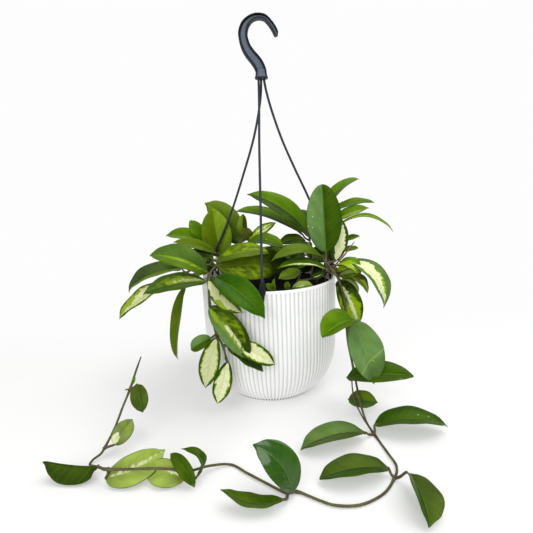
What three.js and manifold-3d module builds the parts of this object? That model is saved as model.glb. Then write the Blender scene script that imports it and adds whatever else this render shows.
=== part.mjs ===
// Potted tricolor wax plant: a fluted hanging pot that stands on its foot, the three-armed hanger
// above it, the soil, and the leafy vines that grow from the soil.
// Millimetres, +Z up, -Y towards the viewer, origin at the centre of the pot's foot.
import * as THREE from 'three';
import { mergeVertices } from 'three/addons/utils/BufferGeometryUtils.js';
import Module from 'manifold-3d';

const wasm = await Module();
wasm.setup();

// Pot
const potHeight = 153;
const rimRadius = 90;
const bowlRadius = 89;
const bowlHeight = 64;
const footRadius = 49;
const wallThickness = 2.6;
const lipHeight = 3;
const fluteCount = 104;
const fluteDepth = 0.9;
const bowlSteps = 3;
const wallSides = 36;

// Clearance between pieces that touch
const gap = 0.3;

// Soil
const soilTop = 143;
const soilDome = 3;
const stemHoleRadius = 3.4;
const stemHoleDepth = 22;

// Hanger
const hookDepth = 11;
const hookFlange = 1.3;
const hookPocketDepth = 3;
const hookStepsEach = 1.3;
const hubTopRadius = 6.8;
const hubFootRadius = 8.3;
const armRadius = 1.5;
const armSocketDepth = 6;
const clipWidth = 8;
const clipTop = 9.5;
const clipSlot = 2.1;
const clipPlate = 2;
const clipTongue = 14;
const clipInnerTongue = 11;
const clipFlare = 1.2;
const clipGroove = [1.4, 1.6, 10];

// Leaves and stems
const stemRadius = 1.6;
const stemSides = 5;
const stemSteps = 1;
const petioleRadius = 1.3;
const twigRadius = 1.1;
const bladeMiddle = 0.75;
const bladeEdge = 0.4;
const bladeStations = [0, 0.09, 0.31, 0.65, 0.89, 1];
const smallBladeStations = [0, 0.14, 0.46, 0.82, 1];
const smallBladeLength = 72;
const bladeRoundness = 0.56;
const fullRoundness = 0.08;
const tipTaper = 0.22;
const taperStart = 0.7;
const widestPower = 0.95;

const radians = THREE.MathUtils.degToRad;

// A closed geometry as a solid, its faces turned outward
function solid(geometry) {
  const bare = geometry.clone();
  bare.deleteAttribute('normal');
  bare.deleteAttribute('uv');
  const merged = mergeVertices(bare, 1e-4);
  const place = merged.getAttribute('position');
  const index = Array.from(merged.index.array);
  const corner = [new THREE.Vector3(), new THREE.Vector3(), new THREE.Vector3()];
  const kept = [];
  let volume = 0;
  for (let i = 0; i < index.length; i += 3) {
    const [a, b, c] = [index[i], index[i + 1], index[i + 2]];
    if (a === b || b === c || c === a) continue;
    corner.forEach((point, k) => point.fromBufferAttribute(place, index[i + k]));
    volume += corner[0].dot(corner[1].cross(corner[2]));
    kept.push([a, b, c]);
  }
  const facing = volume < 0 ? kept.map(([a, b, c]) => [a, c, b]) : kept;
  const mesh = new wasm.Mesh({
    numProp: 3,
    vertProperties: new Float32Array(place.array),
    triVerts: new Uint32Array(facing.flat()),
  });
  return new wasm.Manifold(mesh);
}

function joined(solids) {
  return solids.reduce((whole, piece) => whole.add(piece));
}

function geometryOf(manifold) {
  const mesh = manifold.getMesh();
  const geometry = new THREE.BufferGeometry();
  geometry.setAttribute('position', new THREE.BufferAttribute(mesh.vertProperties.slice(), 3));
  geometry.setIndex(new THREE.BufferAttribute(mesh.triVerts.slice(), 1));
  geometry.computeVertexNormals();
  return geometry;
}

function middleOf(points) {
  const sum = points.reduce((total, point) => total.add(point), new THREE.Vector3());
  return sum.divideScalar(points.length);
}

// A closed skin over rings of points that all have the same count
function skin(rings) {
  const count = rings[0].length;
  const points = rings.flat();
  const faces = [];
  for (let r = 0; r + 1 < rings.length; r += 1) {
    for (let i = 0; i < count; i += 1) {
      const a = r * count + i;
      const b = r * count + ((i + 1) % count);
      faces.push(a, b, b + count, a, b + count, a + count);
    }
  }
  const last = (rings.length - 1) * count;
  for (let i = 0; i < count; i += 1) {
    const next = (i + 1) % count;
    faces.push(points.length, next, i, points.length + 1, last + i, last + next);
  }
  points.push(middleOf(rings[0]), middleOf(rings[rings.length - 1]));
  const geometry = new THREE.BufferGeometry().setFromPoints(points);
  geometry.setIndex(faces);
  return geometry;
}

// A tube of one radius through every one of its points, with a few steps from each to the next
function tube(points, radius, stepsEach, sides) {
  const path = new THREE.CatmullRomCurve3(points, false, 'centripetal');
  const count = (points.length - 1) * stepsEach;
  const side = new THREE.Vector3(0.31, 0.87, 0.38);
  const rings = [];
  for (let i = 0; i <= count; i += 1) {
    const along = path.getTangent(i / count);
    side.addScaledVector(along, -side.dot(along)).normalize();
    const other = along.clone().cross(side);
    const place = path.getPoint(i / count);
    const ring = [];
    for (let k = 0; k < sides; k += 1) {
      const turn = (2 * Math.PI * k) / sides;
      const point = place.clone().addScaledVector(side, radius * Math.cos(turn));
      ring.push(point.addScaledVector(other, radius * Math.sin(turn)));
    }
    rings.push(ring);
  }
  return skin(rings);
}

const vector = (point) => new THREE.Vector3(...point);

// Pot: straight fluted wall on an elliptical bowl, with a plain lip
function potOutline() {
  const outline = [[footRadius, 0, 1]];
  for (let i = 1; i <= bowlSteps; i += 1) {
    const turn = radians(90 * (1 - i / bowlSteps));
    const radius = footRadius + (bowlRadius - footRadius) * Math.cos(turn);
    outline.push([radius, bowlHeight * (1 - Math.sin(turn)), 1]);
  }
  outline.push([rimRadius, potHeight - lipHeight - fluteDepth, 1]);
  outline.push([rimRadius, potHeight - lipHeight, 0]);
  outline.push([rimRadius, potHeight, 0]);
  return outline;
}

function potOutside() {
  const rings = potOutline().map(([radius, height, fluted]) => {
    const ring = [];
    for (let i = 0; i < 2 * fluteCount; i += 1) {
      const turn = (Math.PI * i) / fluteCount;
      const reach = radius - fluted * (i % 2) * fluteDepth;
      ring.push(new THREE.Vector3(reach * Math.cos(turn), reach * Math.sin(turn), height));
    }
    return ring;
  });
  return solid(skin(rings));
}

function cavityProfile(clearance) {
  const inset = wallThickness + fluteDepth + clearance;
  const profile = [[0, wallThickness + clearance]];
  for (let i = 0; i <= bowlSteps; i += 1) {
    const turn = radians(90 * (1 - i / bowlSteps));
    const radius = footRadius + (bowlRadius - footRadius - inset) * Math.cos(turn);
    const depth = bowlHeight - wallThickness - clearance;
    profile.push([radius, bowlHeight - depth * Math.sin(turn)]);
  }
  return profile;
}

function lathe(profile, sides) {
  const points = profile.map(([radius, height]) => new THREE.Vector2(radius, height));
  return solid(new THREE.LatheGeometry(points, sides).rotateX(Math.PI / 2));
}

function pot() {
  const mouth = rimRadius - wallThickness;
  const profile = cavityProfile(0);
  profile.push([mouth, potHeight - lipHeight], [mouth, potHeight + lipHeight]);
  profile.push([0, potHeight + lipHeight]);
  return potOutside().subtract(lathe(profile, wallSides));
}

// Soil: fills the pot to below the rim, with a plain hole for each stem
function soil(feet) {
  const profile = cavityProfile(gap);
  const edge = rimRadius - wallThickness - fluteDepth - gap - 0.5;
  profile.push([edge, soilTop - soilDome], [0.6 * edge, soilTop - 1], [0, soilTop]);
  let body = lathe(profile, wallSides);
  for (const [x, y] of feet) {
    const hole = new THREE.CylinderGeometry(stemHoleRadius, stemHoleRadius, stemHoleDepth * 2, 6);
    hole.rotateX(Math.PI / 2).translate(x, y, soilTop);
    body = body.subtract(solid(hole));
  }
  return body;
}

// Hook: centre line in the XZ plane with its half width at each point
const hookLine = [
  [1, 402, 6.6], [1, 410, 6.6], [-2, 418, 6.4], [-6.5, 424.5, 6.2], [-11.5, 430.5, 6],
  [-15.8, 437.5, 5.8], [-18.5, 445.5, 5.7], [-19.3, 454, 5.6], [-16.6, 462.5, 4.8], [-13, 466.8, 4],
  [-8.2, 470.2, 3.2], [-1, 472.3, 2.7], [7.5, 470.4, 2.6], [13.8, 464.4, 2.7], [19, 456.6, 2.9],
  [21.6, 450.4, 2.7],
];

function hookOutline(inset) {
  const centre = new THREE.SplineCurve(hookLine.map(([x, z]) => new THREE.Vector2(x, z)));
  const count = Math.round(hookStepsEach * hookLine.length);
  const left = [];
  const right = [];
  for (let i = 0; i <= count; i += 1) {
    const at = i / count;
    const place = at * (hookLine.length - 1);
    const row = Math.min(Math.floor(place), hookLine.length - 2);
    const half = THREE.MathUtils.lerp(hookLine[row][2], hookLine[row + 1][2], place - row) - inset;
    const point = centre.getPoint(at);
    const along = centre.getTangent(at);
    const shift = i === 0 ? inset : i === count ? -inset : 0;
    const middle = point.addScaledVector(along, shift);
    left.push(new THREE.Vector2(middle.x - along.y * half, middle.y + along.x * half));
    right.push(new THREE.Vector2(middle.x + along.y * half, middle.y - along.x * half));
  }
  return new THREE.Shape([...right, ...left.reverse()]);
}

function hookSlab(inset, depth, centreY) {
  const slab = new THREE.ExtrudeGeometry(hookOutline(inset), { depth, bevelEnabled: false });
  slab.rotateX(Math.PI / 2).translate(0, centreY + depth / 2, 0);
  return solid(slab);
}

// Arms: from a socket in the hub down to the clip on the rim
const arms = {
  front: {
    turn: 265, start: [-1.5, -2.6],
    bend: [[-3, -4, 377], [-5, -26, 315], [-6, -50, 256], [-7, -74, 199]],
  },
  left: {
    turn: 161, start: [-2.4, 1],
    bend: [[-3, 2, 378], [-11, 6, 336], [-29, 13, 285], [-50, 19, 232], [-73, 26, 186]],
  },
  right: {
    turn: 7, start: [4.4, 1],
    bend: [[9, 2, 377], [23, 5, 333], [39, 8, 295], [58, 10, 253], [75, 11, 208]],
  },
};
const hubBottom = hookLine[0][1];

function clipPlace(turn) {
  const wallMiddle = rimRadius - wallThickness / 2;
  const place = new THREE.Matrix4().makeRotationZ(radians(turn));
  return place.setPosition(
    wallMiddle * Math.cos(radians(turn)), wallMiddle * Math.sin(radians(turn)), potHeight,
  );
}

function armPoints({ turn, start, bend }) {
  const foot = new THREE.Vector3(0, 0, clipTop - 1).applyMatrix4(clipPlace(turn));
  const top = new THREE.Vector3(...start, hubBottom + armSocketDepth - gap);
  const below = new THREE.Vector3(...start, hubBottom - 2);
  return [top, below, ...bend.map(vector), foot.clone().setZ(foot.z + 6), foot];
}

function clip() {
  const outer = clipSlot + clipPlate;
  const side = new THREE.Shape([
    [-outer, clipTop], [-outer, -1],
    [-clipSlot - clipFlare, -clipInnerTongue], [-clipSlot, -clipInnerTongue], [-clipSlot, gap],
    [clipSlot, gap], [clipSlot, -clipTongue], [clipSlot + clipFlare, -clipTongue],
    [outer, -1], [outer, clipTop],
  ].map(([x, z]) => new THREE.Vector2(x, z)));
  const face = new THREE.Shape([
    [-0.35, clipTop], [-0.5, 0.6], [-0.5, 0], [-0.14, -clipTongue], [0.14, -clipTongue],
    [0.5, 0], [0.5, 0.6], [0.35, clipTop],
  ].map(([y, z]) => new THREE.Vector2(y * clipWidth, z)));
  const sideSlab = new THREE.ExtrudeGeometry(side, { depth: 2 * clipWidth, bevelEnabled: false });
  sideSlab.rotateX(Math.PI / 2).translate(0, clipWidth, 0);
  const faceSlab = new THREE.ExtrudeGeometry(face, { depth: 4 * outer, bevelEnabled: false });
  faceSlab.rotateX(Math.PI / 2).rotateZ(Math.PI / 2).translate(-2 * outer, 0, 0);
  const groove = new THREE.BoxGeometry(...clipGroove).translate(outer, 0, 3);
  return solid(sideSlab).intersect(solid(faceSlab)).subtract(solid(groove));
}

function hangerArm(arm) {
  const rod = solid(tube(armPoints(arm), armRadius, 2, 6));
  const place = clipPlace(arm.turn).elements;
  return rod.add(clip().transform(Array.from(place)));
}

function hook() {
  const sunk = hookPocketDepth / 2 - 0.01;
  let body = hookSlab(0, hookDepth, 0);
  body = body.subtract(hookSlab(hookFlange, hookPocketDepth, -hookDepth / 2 + sunk));
  body = body.subtract(hookSlab(hookFlange, hookPocketDepth, hookDepth / 2 - sunk));
  const hub = new THREE.CylinderGeometry(hubTopRadius, hubFootRadius, armSocketDepth + 4, 16);
  hub.rotateX(Math.PI / 2);
  body = body.add(solid(hub.translate(1, 0, hubBottom + armSocketDepth / 2 + 2)));
  for (const { start } of Object.values(arms)) {
    const radius = armRadius + 2 * gap;
    const socket = new THREE.CylinderGeometry(radius, radius, armSocketDepth, 8).rotateX(Math.PI / 2);
    socket.translate(...start, hubBottom + armSocketDepth / 2 - 0.01);
    body = body.subtract(solid(socket));
  }
  return body;
}

// Half width of a blade along its length, as a share of its widest half. A full blade has blunt ends,
// a late one is widest towards its tip
function bladeShape(at, { full = 0, late = 0 }) {
  const outer = Math.max(0, at - taperStart) / (1 - taperStart);
  const taper = 1 - (1 - full) * tipTaper * outer;
  const swell = Math.sin(Math.PI * at ** (widestPower + late));
  return swell ** (bladeRoundness - fullRoundness * full) * taper;
}

// Place, length direction, side and upper face of a blade's midrib at one station.
// arch lifts the middle, curl lifts the outer half, bend swings the middle sideways, twist turns the tip
function midrib(leaf, at) {
  const { arch = 0.1, curl = 0, bend = 0, twist = 0 } = leaf;
  const base = vector(leaf.base);
  const chord = vector(leaf.tip).sub(base);
  const length = chord.length();
  const along = chord.clone().normalize();
  const face = vector(leaf.face);
  face.addScaledVector(along, -face.dot(along)).normalize();
  const side = new THREE.Vector3().crossVectors(along, face);
  const lift = length * (4 * arch * at * (1 - at) + curl * (at - at ** 3));
  const swing = length * 4 * bend * at * (1 - at);
  const place = base.addScaledVector(chord, at).addScaledVector(face, lift).addScaledVector(side, swing);
  const rise = 4 * arch * (1 - 2 * at) + curl * (1 - 3 * at ** 2);
  const tangent = along.addScaledVector(face, rise).addScaledVector(side, 4 * bend * (1 - 2 * at));
  tangent.normalize();
  face.addScaledVector(tangent, -face.dot(tangent)).normalize();
  face.applyAxisAngle(tangent, radians(twist * at));
  side.crossVectors(tangent, face);
  return { place, side, face };
}

// One leaf: a petiole from the stem, then both halves of the blade raised by the fold angle.
// Every ring has six points, so both faces are split alike
function leafSolid(leaf, joint) {
  const length = vector(leaf.tip).distanceTo(vector(leaf.base));
  const stations = length < smallBladeLength ? smallBladeStations : bladeStations;
  const fold = radians(leaf.fold ?? 18);
  const ring = ({ place, side, face }, half, tilt, edge, middle) => {
    const corner = (way, above) => {
      const reach = side.clone().multiplyScalar(way * half * Math.cos(tilt));
      reach.addScaledVector(face, half * Math.sin(tilt));
      const normal = face.clone().multiplyScalar(Math.cos(tilt));
      normal.addScaledVector(side, -way * Math.sin(tilt));
      return place.clone().add(reach).addScaledVector(normal, above * edge);
    };
    const centre = (above) => place.clone().addScaledVector(face, above * middle);
    return [corner(-1, 1), centre(1), corner(1, 1), corner(1, -1), centre(-1), corner(-1, -1)];
  };
  const root = midrib(leaf, 0);
  const along = root.place.clone().sub(joint).normalize();
  const side = root.side.clone().addScaledVector(along, -root.side.dot(along)).normalize();
  const stalk = { place: joint, side, face: side.clone().cross(along) };
  const stalkRing = ring(stalk, petioleRadius, 0, petioleRadius / 2, petioleRadius);
  const bladeRings = stations.map((at) => {
    const reach = (leaf.width / 2) * bladeShape(at, leaf);
    const half = Math.max(reach, at < 0.5 ? petioleRadius : 0.5);
    return ring(midrib(leaf, at), half, at === 0 ? 0 : fold, bladeEdge, bladeMiddle);
  });
  return solid(skin([stalkRing, ...bladeRings]));
}

// A vine: a stem that stands in the soil, with leaves on petioles at its joints
function vine({ foot, joints, leaves, twigs = [] }) {
  const [x, y] = foot;
  const rooted = [vector([x, y, soilTop - stemHoleDepth + gap]), vector([x, y, soilTop])];
  const points = joints.map(vector);
  const pieces = [solid(tube([...rooted, ...points], stemRadius, stemSteps, stemSides))];
  for (const leaf of leaves) pieces.push(leafSolid(leaf, points[leaf.at]));
  for (const twig of twigs) {
    pieces.push(solid(tube(twig.map(vector), twigRadius, stemSteps, stemSides)));
  }
  return joined(pieces);
}

const vines = {
  vine_front_left: {
    foot: [-40, -40],
    joints: [
      [-50, -48, 158], [-62, -58, 178], [-69, -72, 172], [-70, -82, 140], [-64, -86, 104],
      [-57, -89, 90], [-54, -90, 74], [-53, -91, 66],
    ],
    leaves: [
      { at: 2, base: [-72, -72, 175], tip: [-137, -76, 199], width: 36, face: [0, -6, 8], arch: 0.15 },
      { at: 2, base: [-74, -77, 165], tip: [-144, -92, 157], width: 32, face: [0, -5, 9], arch: 0.07 },
      {
        at: 2, base: [-69, -80, 168], tip: [-31, -100, 132], width: 27,
        face: [-4, -9, 2], arch: 0.05, fold: 35,
      },
      {
        at: 2, base: [-62, -84, 171], tip: [-5, -118, 131], width: 33,
        face: [2, -7, 6], arch: 0.1, curl: 0.1,
      },
      { at: 1, base: [-62, -56, 184], tip: [4, -50, 191], width: 26, face: [0, -6, 8], arch: 0.15 },
      { at: 1, base: [-60, -62, 180], tip: [30, -54, 180], width: 42, face: [0, -8, 4], arch: -0.05 },
      {
        at: 3, base: [-70, -86, 137], tip: [-26, -104, 77], width: 31,
        face: [1, -9, 3], arch: 0.06, bend: -0.05,
      },
      {
        at: 4, base: [-64, -90, 101], tip: [-81, -92, 37], width: 26,
        face: [-1, -9, 2], arch: 0.04, full: -0.8,
      },
      {
        at: 6, base: [-52, -92, 71], tip: [-68, -92, 16], width: 23,
        face: [1, -9, 2], arch: 0.04, full: -0.8,
      },
      { at: 5, base: [-51, -93, 91], tip: [-10, -103, 62], width: 22, face: [3, -5, 7], arch: 0.06 },
      { at: 5, base: [-44, -95, 96], tip: [4, -98, 67], width: 22, face: [1, -8, 5], arch: 0.1 },
      { at: 4, base: [-71, -84, 98], tip: [-96, -84, 84], width: 19, face: [0, -7, 6], full: 0.4 },
    ],
  },
  vine_far_left: {
    foot: [-58, -8],
    joints: [
      [-66, -12, 158], [-76, -24, 174], [-88, -32, 175],
      [-104, -36, 168], [-119, -38, 160], [-125, -39, 158],
    ],
    leaves: [
      { at: 4, base: [-124, -41, 158], tip: [-189, -56, 117], width: 27, face: [-3, -6, 8], arch: 0.08 },
      {
        at: 3, base: [-110, -33, 173], tip: [-183, -30, 144], width: 30,
        face: [-2, -6, 8], arch: 0.15, fold: 30,
      },
      {
        at: 3, base: [-106, -40, 152], tip: [-125, -40, 52], width: 22,
        face: [-6, -7, 1], fold: 28, arch: 0.05,
      },
      { at: 2, base: [-92, -20, 176], tip: [-142, 4, 170], width: 26, face: [0, -2, 9], arch: 0.12 },
    ],
  },
  vine_back_left: {
    foot: [-40, 12],
    joints: [[-54, 13, 164], [-59, 14, 181], [-53, 13, 188], [-42, 13, 191], [-36, 15, 197]],
    leaves: [
      {
        at: 1, base: [-67, 34, 175], tip: [-74, 28, 244], width: 43,
        face: [0, -9, 1], fold: 10, arch: 0.03, full: 0.5,
      },
      { at: 1, base: [-83, 44, 191], tip: [-146, 40, 208], width: 30, face: [0, -5, 8], arch: 0.12 },
      { at: 1, base: [-69, -6, 187], tip: [-123, -12, 205], width: 17, face: [0, -6, 7], arch: 0.1 },
      { at: 0, base: [-86, 44, 199], tip: [-109, 40, 228], width: 21, face: [-2, -9, 3], full: 0.5 },
      { at: 3, base: [-44, 45, 191], tip: [-87, 45, 252], width: 39, face: [2, -9, 3], bend: 0.1 },
      { at: 4, base: [-32, 16, 205], tip: [-31, 18, 236], width: 18, face: [-3, -9, 1] },
      { at: 3, base: [-38, 20, 196], tip: [-26, 72, 190], width: 24, face: [0, -5, 8], arch: 0.1 },
    ],
  },
  vine_centre: {
    foot: [-6, -24],
    joints: [[-10, -18, 160], [-20, -8, 182], [-27, -2, 195]],
    leaves: [
      { at: 2, base: [-26, -8, 199], tip: [23, -24, 192], width: 24, face: [0, -5, 8], arch: 0.17 },
      { at: 2, base: [-25, 5, 199], tip: [13, 12, 223], width: 17, face: [-3, -8, 5], arch: 0.04 },
      { at: 2, base: [-22, 8, 200], tip: [-32, 10, 218], width: 16, face: [0, -9, 3] },
      { at: 1, base: [-10, -14, 184], tip: [32, -8, 176], width: 24, face: [0, -5, 8], arch: 0.12 },
    ],
  },
  vine_back_centre: {
    foot: [60, 16],
    joints: [[63, 22, 162], [63, 27, 182], [60, 28, 194]],
    leaves: [
      { at: 2, base: [50, 27, 203], tip: [-43, 22, 240], width: 30, face: [0, -4, 8], arch: 0.11 },
      { at: 2, base: [60, 26, 200], tip: [-25, 20, 263], width: 35, face: [3, -7, 6], arch: 0.15 },
      { at: 1, base: [54, 13, 193], tip: [14, 8, 194], width: 22, face: [0, -6, 8], arch: 0.14 },
      { at: 2, base: [62, 36, 200], tip: [44, 84, 232], width: 34, face: [-2, -2, 9], arch: 0.1 },
    ],
  },
  vine_back_right: {
    foot: [78, 6],
    joints: [[80, 12, 162], [82, 18, 182], [84, 20, 200], [86, 20, 214]],
    leaves: [
      {
        at: 3, base: [82, 24, 240], tip: [130, 30, 277], width: 18,
        face: [-4, -5, 8], arch: 0.1, curl: 0.1,
      },
      { at: 3, base: [88, 20, 232], tip: [149, 20, 244], width: 14, face: [-1, -5, 8], arch: 0.12 },
      { at: 2, base: [90, 12, 220], tip: [138, 6, 238], width: 16, face: [0, -6, 7], arch: 0.1 },
      { at: 2, base: [94, 2, 215], tip: [162, -24, 209], width: 14, face: [0, -2, 9], arch: 0.23 },
      { at: 1, base: [100, 10, 193], tip: [127, 10, 200], width: 9, face: [0, -7, 6] },
      { at: 1, base: [98, 2, 181], tip: [123, 0, 185], width: 9, face: [0, -7, 6] },
    ],
  },
  vine_right: {
    foot: [66, -8],
    joints: [[74, -22, 156], [82, -34, 168], [90, -38, 170]],
    leaves: [
      { at: 2, base: [100, -38, 176], tip: [141, -60, 118], width: 34, face: [6, -8, 5], arch: 0.26 },
      { at: 2, base: [87, -42, 172], tip: [112, -54, 158], width: 24, face: [3, -6, 8], arch: 0.34 },
      { at: 1, base: [86, -46, 164], tip: [102, -56, 174], width: 10, face: [0, -6, 7], arch: 0.1 },
      { at: 1, base: [88, -50, 159], tip: [110, -60, 164], width: 15, face: [0, -7, 6], arch: 0.1 },
      { at: 2, base: [92, -51, 160], tip: [119, -66, 140], width: 19, face: [3, -5, 7], arch: 0.24 },
      { at: 1, base: [88, -54, 155], tip: [107, -68, 140], width: 12, face: [3, -6, 6], arch: 0.24 },
    ],
    twigs: [[[82, -36, 168], [93, -42, 181], [107, -44, 200]]],
  },
  trailing_vine: {
    foot: [60, -32],
    joints: [
      [66, -38, 158], [72, -44, 174], [81, -50, 164], [88, -58, 148], [92, -61, 126], [93, -63, 104],
      [95, -65, 77], [100, -74, 47], [101, -98, 24], [103, -126, 8], [108, -141, 2], [114, -176, 2],
      [116, -190, 2], [114, -199, 2], [109, -208, 2], [94, -226, 2], [70, -238, 2], [48, -237, 2],
      [36, -231, 2], [17, -220, 2], [9, -221, 2], [-14, -205, 2], [-28, -194, 2], [-45, -181, 2],
      [-64, -188, 7], [-86, -203, 13], [-96, -203, 16], [-117, -203, 18], [-139, -203, 18],
      [-157, -202, 18], [-175, -186, 9], [-189, -172, 2], [-187, -168, 4], [-180, -165, 8],
      [-177, -162, 12], [-170, -146, 26],
      [-167, -129, 38], [-162, -115, 52], [-159, -98, 66], [-156, -84, 78],
    ],
    leaves: [
      {
        at: 1, base: [73, -38, 188], tip: [70, -32, 271], width: 44,
        face: [-1, -9, 1], fold: 10, arch: -0.02, full: 1,
      },
      { at: 1, base: [86, -28, 174], tip: [92, -18, 232], width: 29, face: [3, -9, 2], arch: 0.03 },
      { at: 2, base: [68, -50, 181], tip: [3, -70, 185], width: 22, face: [0, -4, 8], arch: 0.21 },
      { at: 2, base: [72, -60, 168], tip: [10, -78, 178], width: 17, face: [0, -4, 8], arch: 0.15 },
      {
        at: 4, base: [87, -44, 152], tip: [109, -54, 94], width: 34,
        face: [2, -9, 2], arch: 0.05, fold: 30,
      },
      {
        at: 5, base: [97, -86, 114], tip: [57, -109, 103], width: 39,
        face: [-2, -5, 8], arch: 0.12, fold: 35, full: 0.5,
      },
      {
        at: 5, base: [98, -76, 110], tip: [118, -104, 41], width: 45,
        face: [2, -8, 4], arch: 0.06, full: 0.2,
      },
      {
        at: 7, base: [90, -85, 41], tip: [163, -105, 50], width: 37,
        face: [0, -3, 9], arch: 0.05, full: 0.4,
      },
      { at: 8, base: [91, -88, 14], tip: [123, -101, 16], width: 23, face: [0, -6, 7], arch: 0.08 },
      { at: 10, base: [110, -135, 9], tip: [189, -140, 8], width: 37, face: [0, 0, 1], arch: 0.1 },
      { at: 10, base: [97, -146, 8], tip: [25, -167, 6], width: 34, face: [0, 0, 1], arch: 0.09 },
      {
        at: 14, base: [105, -202, 8], tip: [39, -210, 6], width: 31,
        face: [0, 0, 1], arch: 0.08, full: 0.4,
      },
      {
        at: 14, base: [118, -213, 12], tip: [118, -266, 5], width: 34,
        face: [4, -3, 8], arch: 0.1, fold: 32, late: 0.35,
      },
      { at: 19, base: [13, -228, 8], tip: [-20, -216, 48], width: 32, face: [4, -7, 4], bend: 0.12 },
      { at: 20, base: [5, -240, 12], tip: [-48, -233, 19], width: 20, face: [0, 1, 9], arch: -0.16 },
      { at: 25, base: [-76, -203, 6], tip: [-88, -199, 35], width: 14, face: [8, -1, 5], arch: 0.44 },
      { at: 25, base: [-76, -212, 5], tip: [-101, -192, 25], width: 15, face: [1, -8, 3], bend: 0.1 },
      { at: 25, base: [-85, -203, 7], tip: [-126, -194, 10], width: 26, face: [0, -7, 7], arch: 0.04 },
      { at: 29, base: [-162, -199, 6], tip: [-108, -181, 22], width: 29, face: [0, -8, 6], bend: 0.08 },
      {
        at: 29, base: [-169, -196, 17], tip: [-225, -190, 21], width: 36,
        face: [0, 0, 1], arch: -0.04, fold: -60,
      },
      { at: 34, base: [-167, -161, 15], tip: [-152, -142, 32], width: 20, face: [2, -8, 5] },
      { at: 37, base: [-153, -115, 58], tip: [-144, -132, 33], width: 20, face: [2, -8, 4] },
    ],
    twigs: [[[96, -80, 42], [96, -94, 20], [100, -116, 10], [106, -138, 3]]],
  },
};

// Young shoots that stay low inside the rim
const shoots = {
  shoot_inner_left: {
    foot: [-8, -62],
    joints: [[-6, -66, 144], [-2, -69, 150]],
    leaves: [
      { at: 1, base: [4, -71, 150], tip: [-4, -76, 159], width: 9, face: [0, -8, 5] },
      { at: 0, base: [8, -69, 148], tip: [7, -66, 163], width: 5, face: [-1, -9, 1], bend: -0.12 },
    ],
  },
  shoot_inner_right: {
    foot: [30, -52],
    joints: [[32, -54, 146], [36, -54, 156], [39, -52, 164]],
    leaves: [
      { at: 2, base: [39, -51, 168], tip: [12, -66, 163], width: 18, face: [0, -6, 7], arch: -0.05 },
      { at: 1, base: [28, -65, 150], tip: [54, -64, 151], width: 13, face: [0, -7, 6], arch: 0.14 },
      { at: 1, base: [52, -54, 158], tip: [69, -52, 163], width: 9, face: [0, -8, 5], arch: 0.1 },
      { at: 0, base: [22, -64, 148], tip: [22, -62, 158], width: 8, face: [0, -9, 2] },
    ],
  },
};

// The vines on the far side follow one rule: a stem over the back rim with leaves in pairs
const rearVines = [
  { name: 'vine_rear_left', turn: 138, seed: 11, reach: 122 },
  { name: 'vine_rear', turn: 96, seed: 23, reach: 132 },
  { name: 'vine_rear_right', turn: 50, seed: 37, reach: 120 },
];
const rearFootRadius = 56;
const rearPairs = 3;
const rearLeafLength = 56;

// Repeatable random numbers from 0 to 1
function randomFrom(seed) {
  let state = seed;
  return () => {
    state = (state * 16807) % 2147483647;
    return state / 2147483647;
  };
}

function rearVine({ turn, seed, reach }) {
  const random = randomFrom(seed);
  const outward = new THREE.Vector3(Math.cos(radians(turn)), Math.sin(radians(turn)), 0);
  const sideways = new THREE.Vector3(-outward.y, outward.x, 0);
  const at = (distance, height) => outward.clone().multiplyScalar(distance).setZ(height);
  const foot = at(rearFootRadius, 0);
  const joints = [
    at(64, 158), at(80, 167), at(97, 164), at(reach - 12, 148), at(reach - 4, 126), at(reach - 6, 102),
  ];
  const leaves = [];
  for (let pair = 0; pair < rearPairs; pair += 1) {
    for (const way of [-1, 1]) {
      const joint = joints[pair + 1];
      const length = rearLeafLength * (0.85 + 0.3 * random());
      const spread = 0.75 + 0.2 * random();
      const rise = 0.1 - 0.3 * pair + 0.2 * (random() - 0.5);
      const heading = sideways.clone().multiplyScalar(way * spread * 0.62);
      heading.addScaledVector(outward, 0.75 + 0.2 * random()).setZ(rise).normalize();
      const base = joint.clone().addScaledVector(heading, 8);
      const tip = base.clone().addScaledVector(heading, length);
      const face = outward.clone().multiplyScalar(0.5).setZ(0.8);
      leaves.push({
        at: pair + 1, base: base.toArray(), tip: tip.toArray(), width: length * 0.44,
        face: face.toArray(), arch: 0.1,
      });
    }
  }
  return { foot: [foot.x, foot.y], joints: joints.map((joint) => joint.toArray()), leaves };
}

// Colours and finish of the pieces
const white = { color: 0xf2f3f0, roughness: 0.45 };
const slate = { color: 0x2b2f37, roughness: 0.5 };
const earth = { color: 0x17120d, roughness: 1 };
const leafGreen = { color: 0x3f6f1e, roughness: 0.4 };

const group = new THREE.Group();

function piece(name, manifold, look) {
  const material = new THREE.MeshStandardMaterial({ metalness: 0, ...look });
  const mesh = new THREE.Mesh(geometryOf(manifold), material);
  mesh.name = name;
  group.add(mesh);
}

const plants = { ...vines, ...shoots };
for (const rear of rearVines) plants[rear.name] = rearVine(rear);

piece('pot', pot(), white);
piece('soil', soil(Object.values(plants).map(({ foot }) => foot)), earth);
piece('hook', hook(), slate);
for (const [name, arm] of Object.entries(arms)) piece(`hanger_arm_${name}`, hangerArm(arm), slate);
for (const [name, plant] of Object.entries(plants)) piece(name, vine(plant), leafGreen);

export default group;
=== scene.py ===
# Potted tricolor wax plant: looks for the fluted pot, the soil, the three-armed hanger and the vines
import math

import bpy
from mathutils import Matrix, Vector


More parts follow.
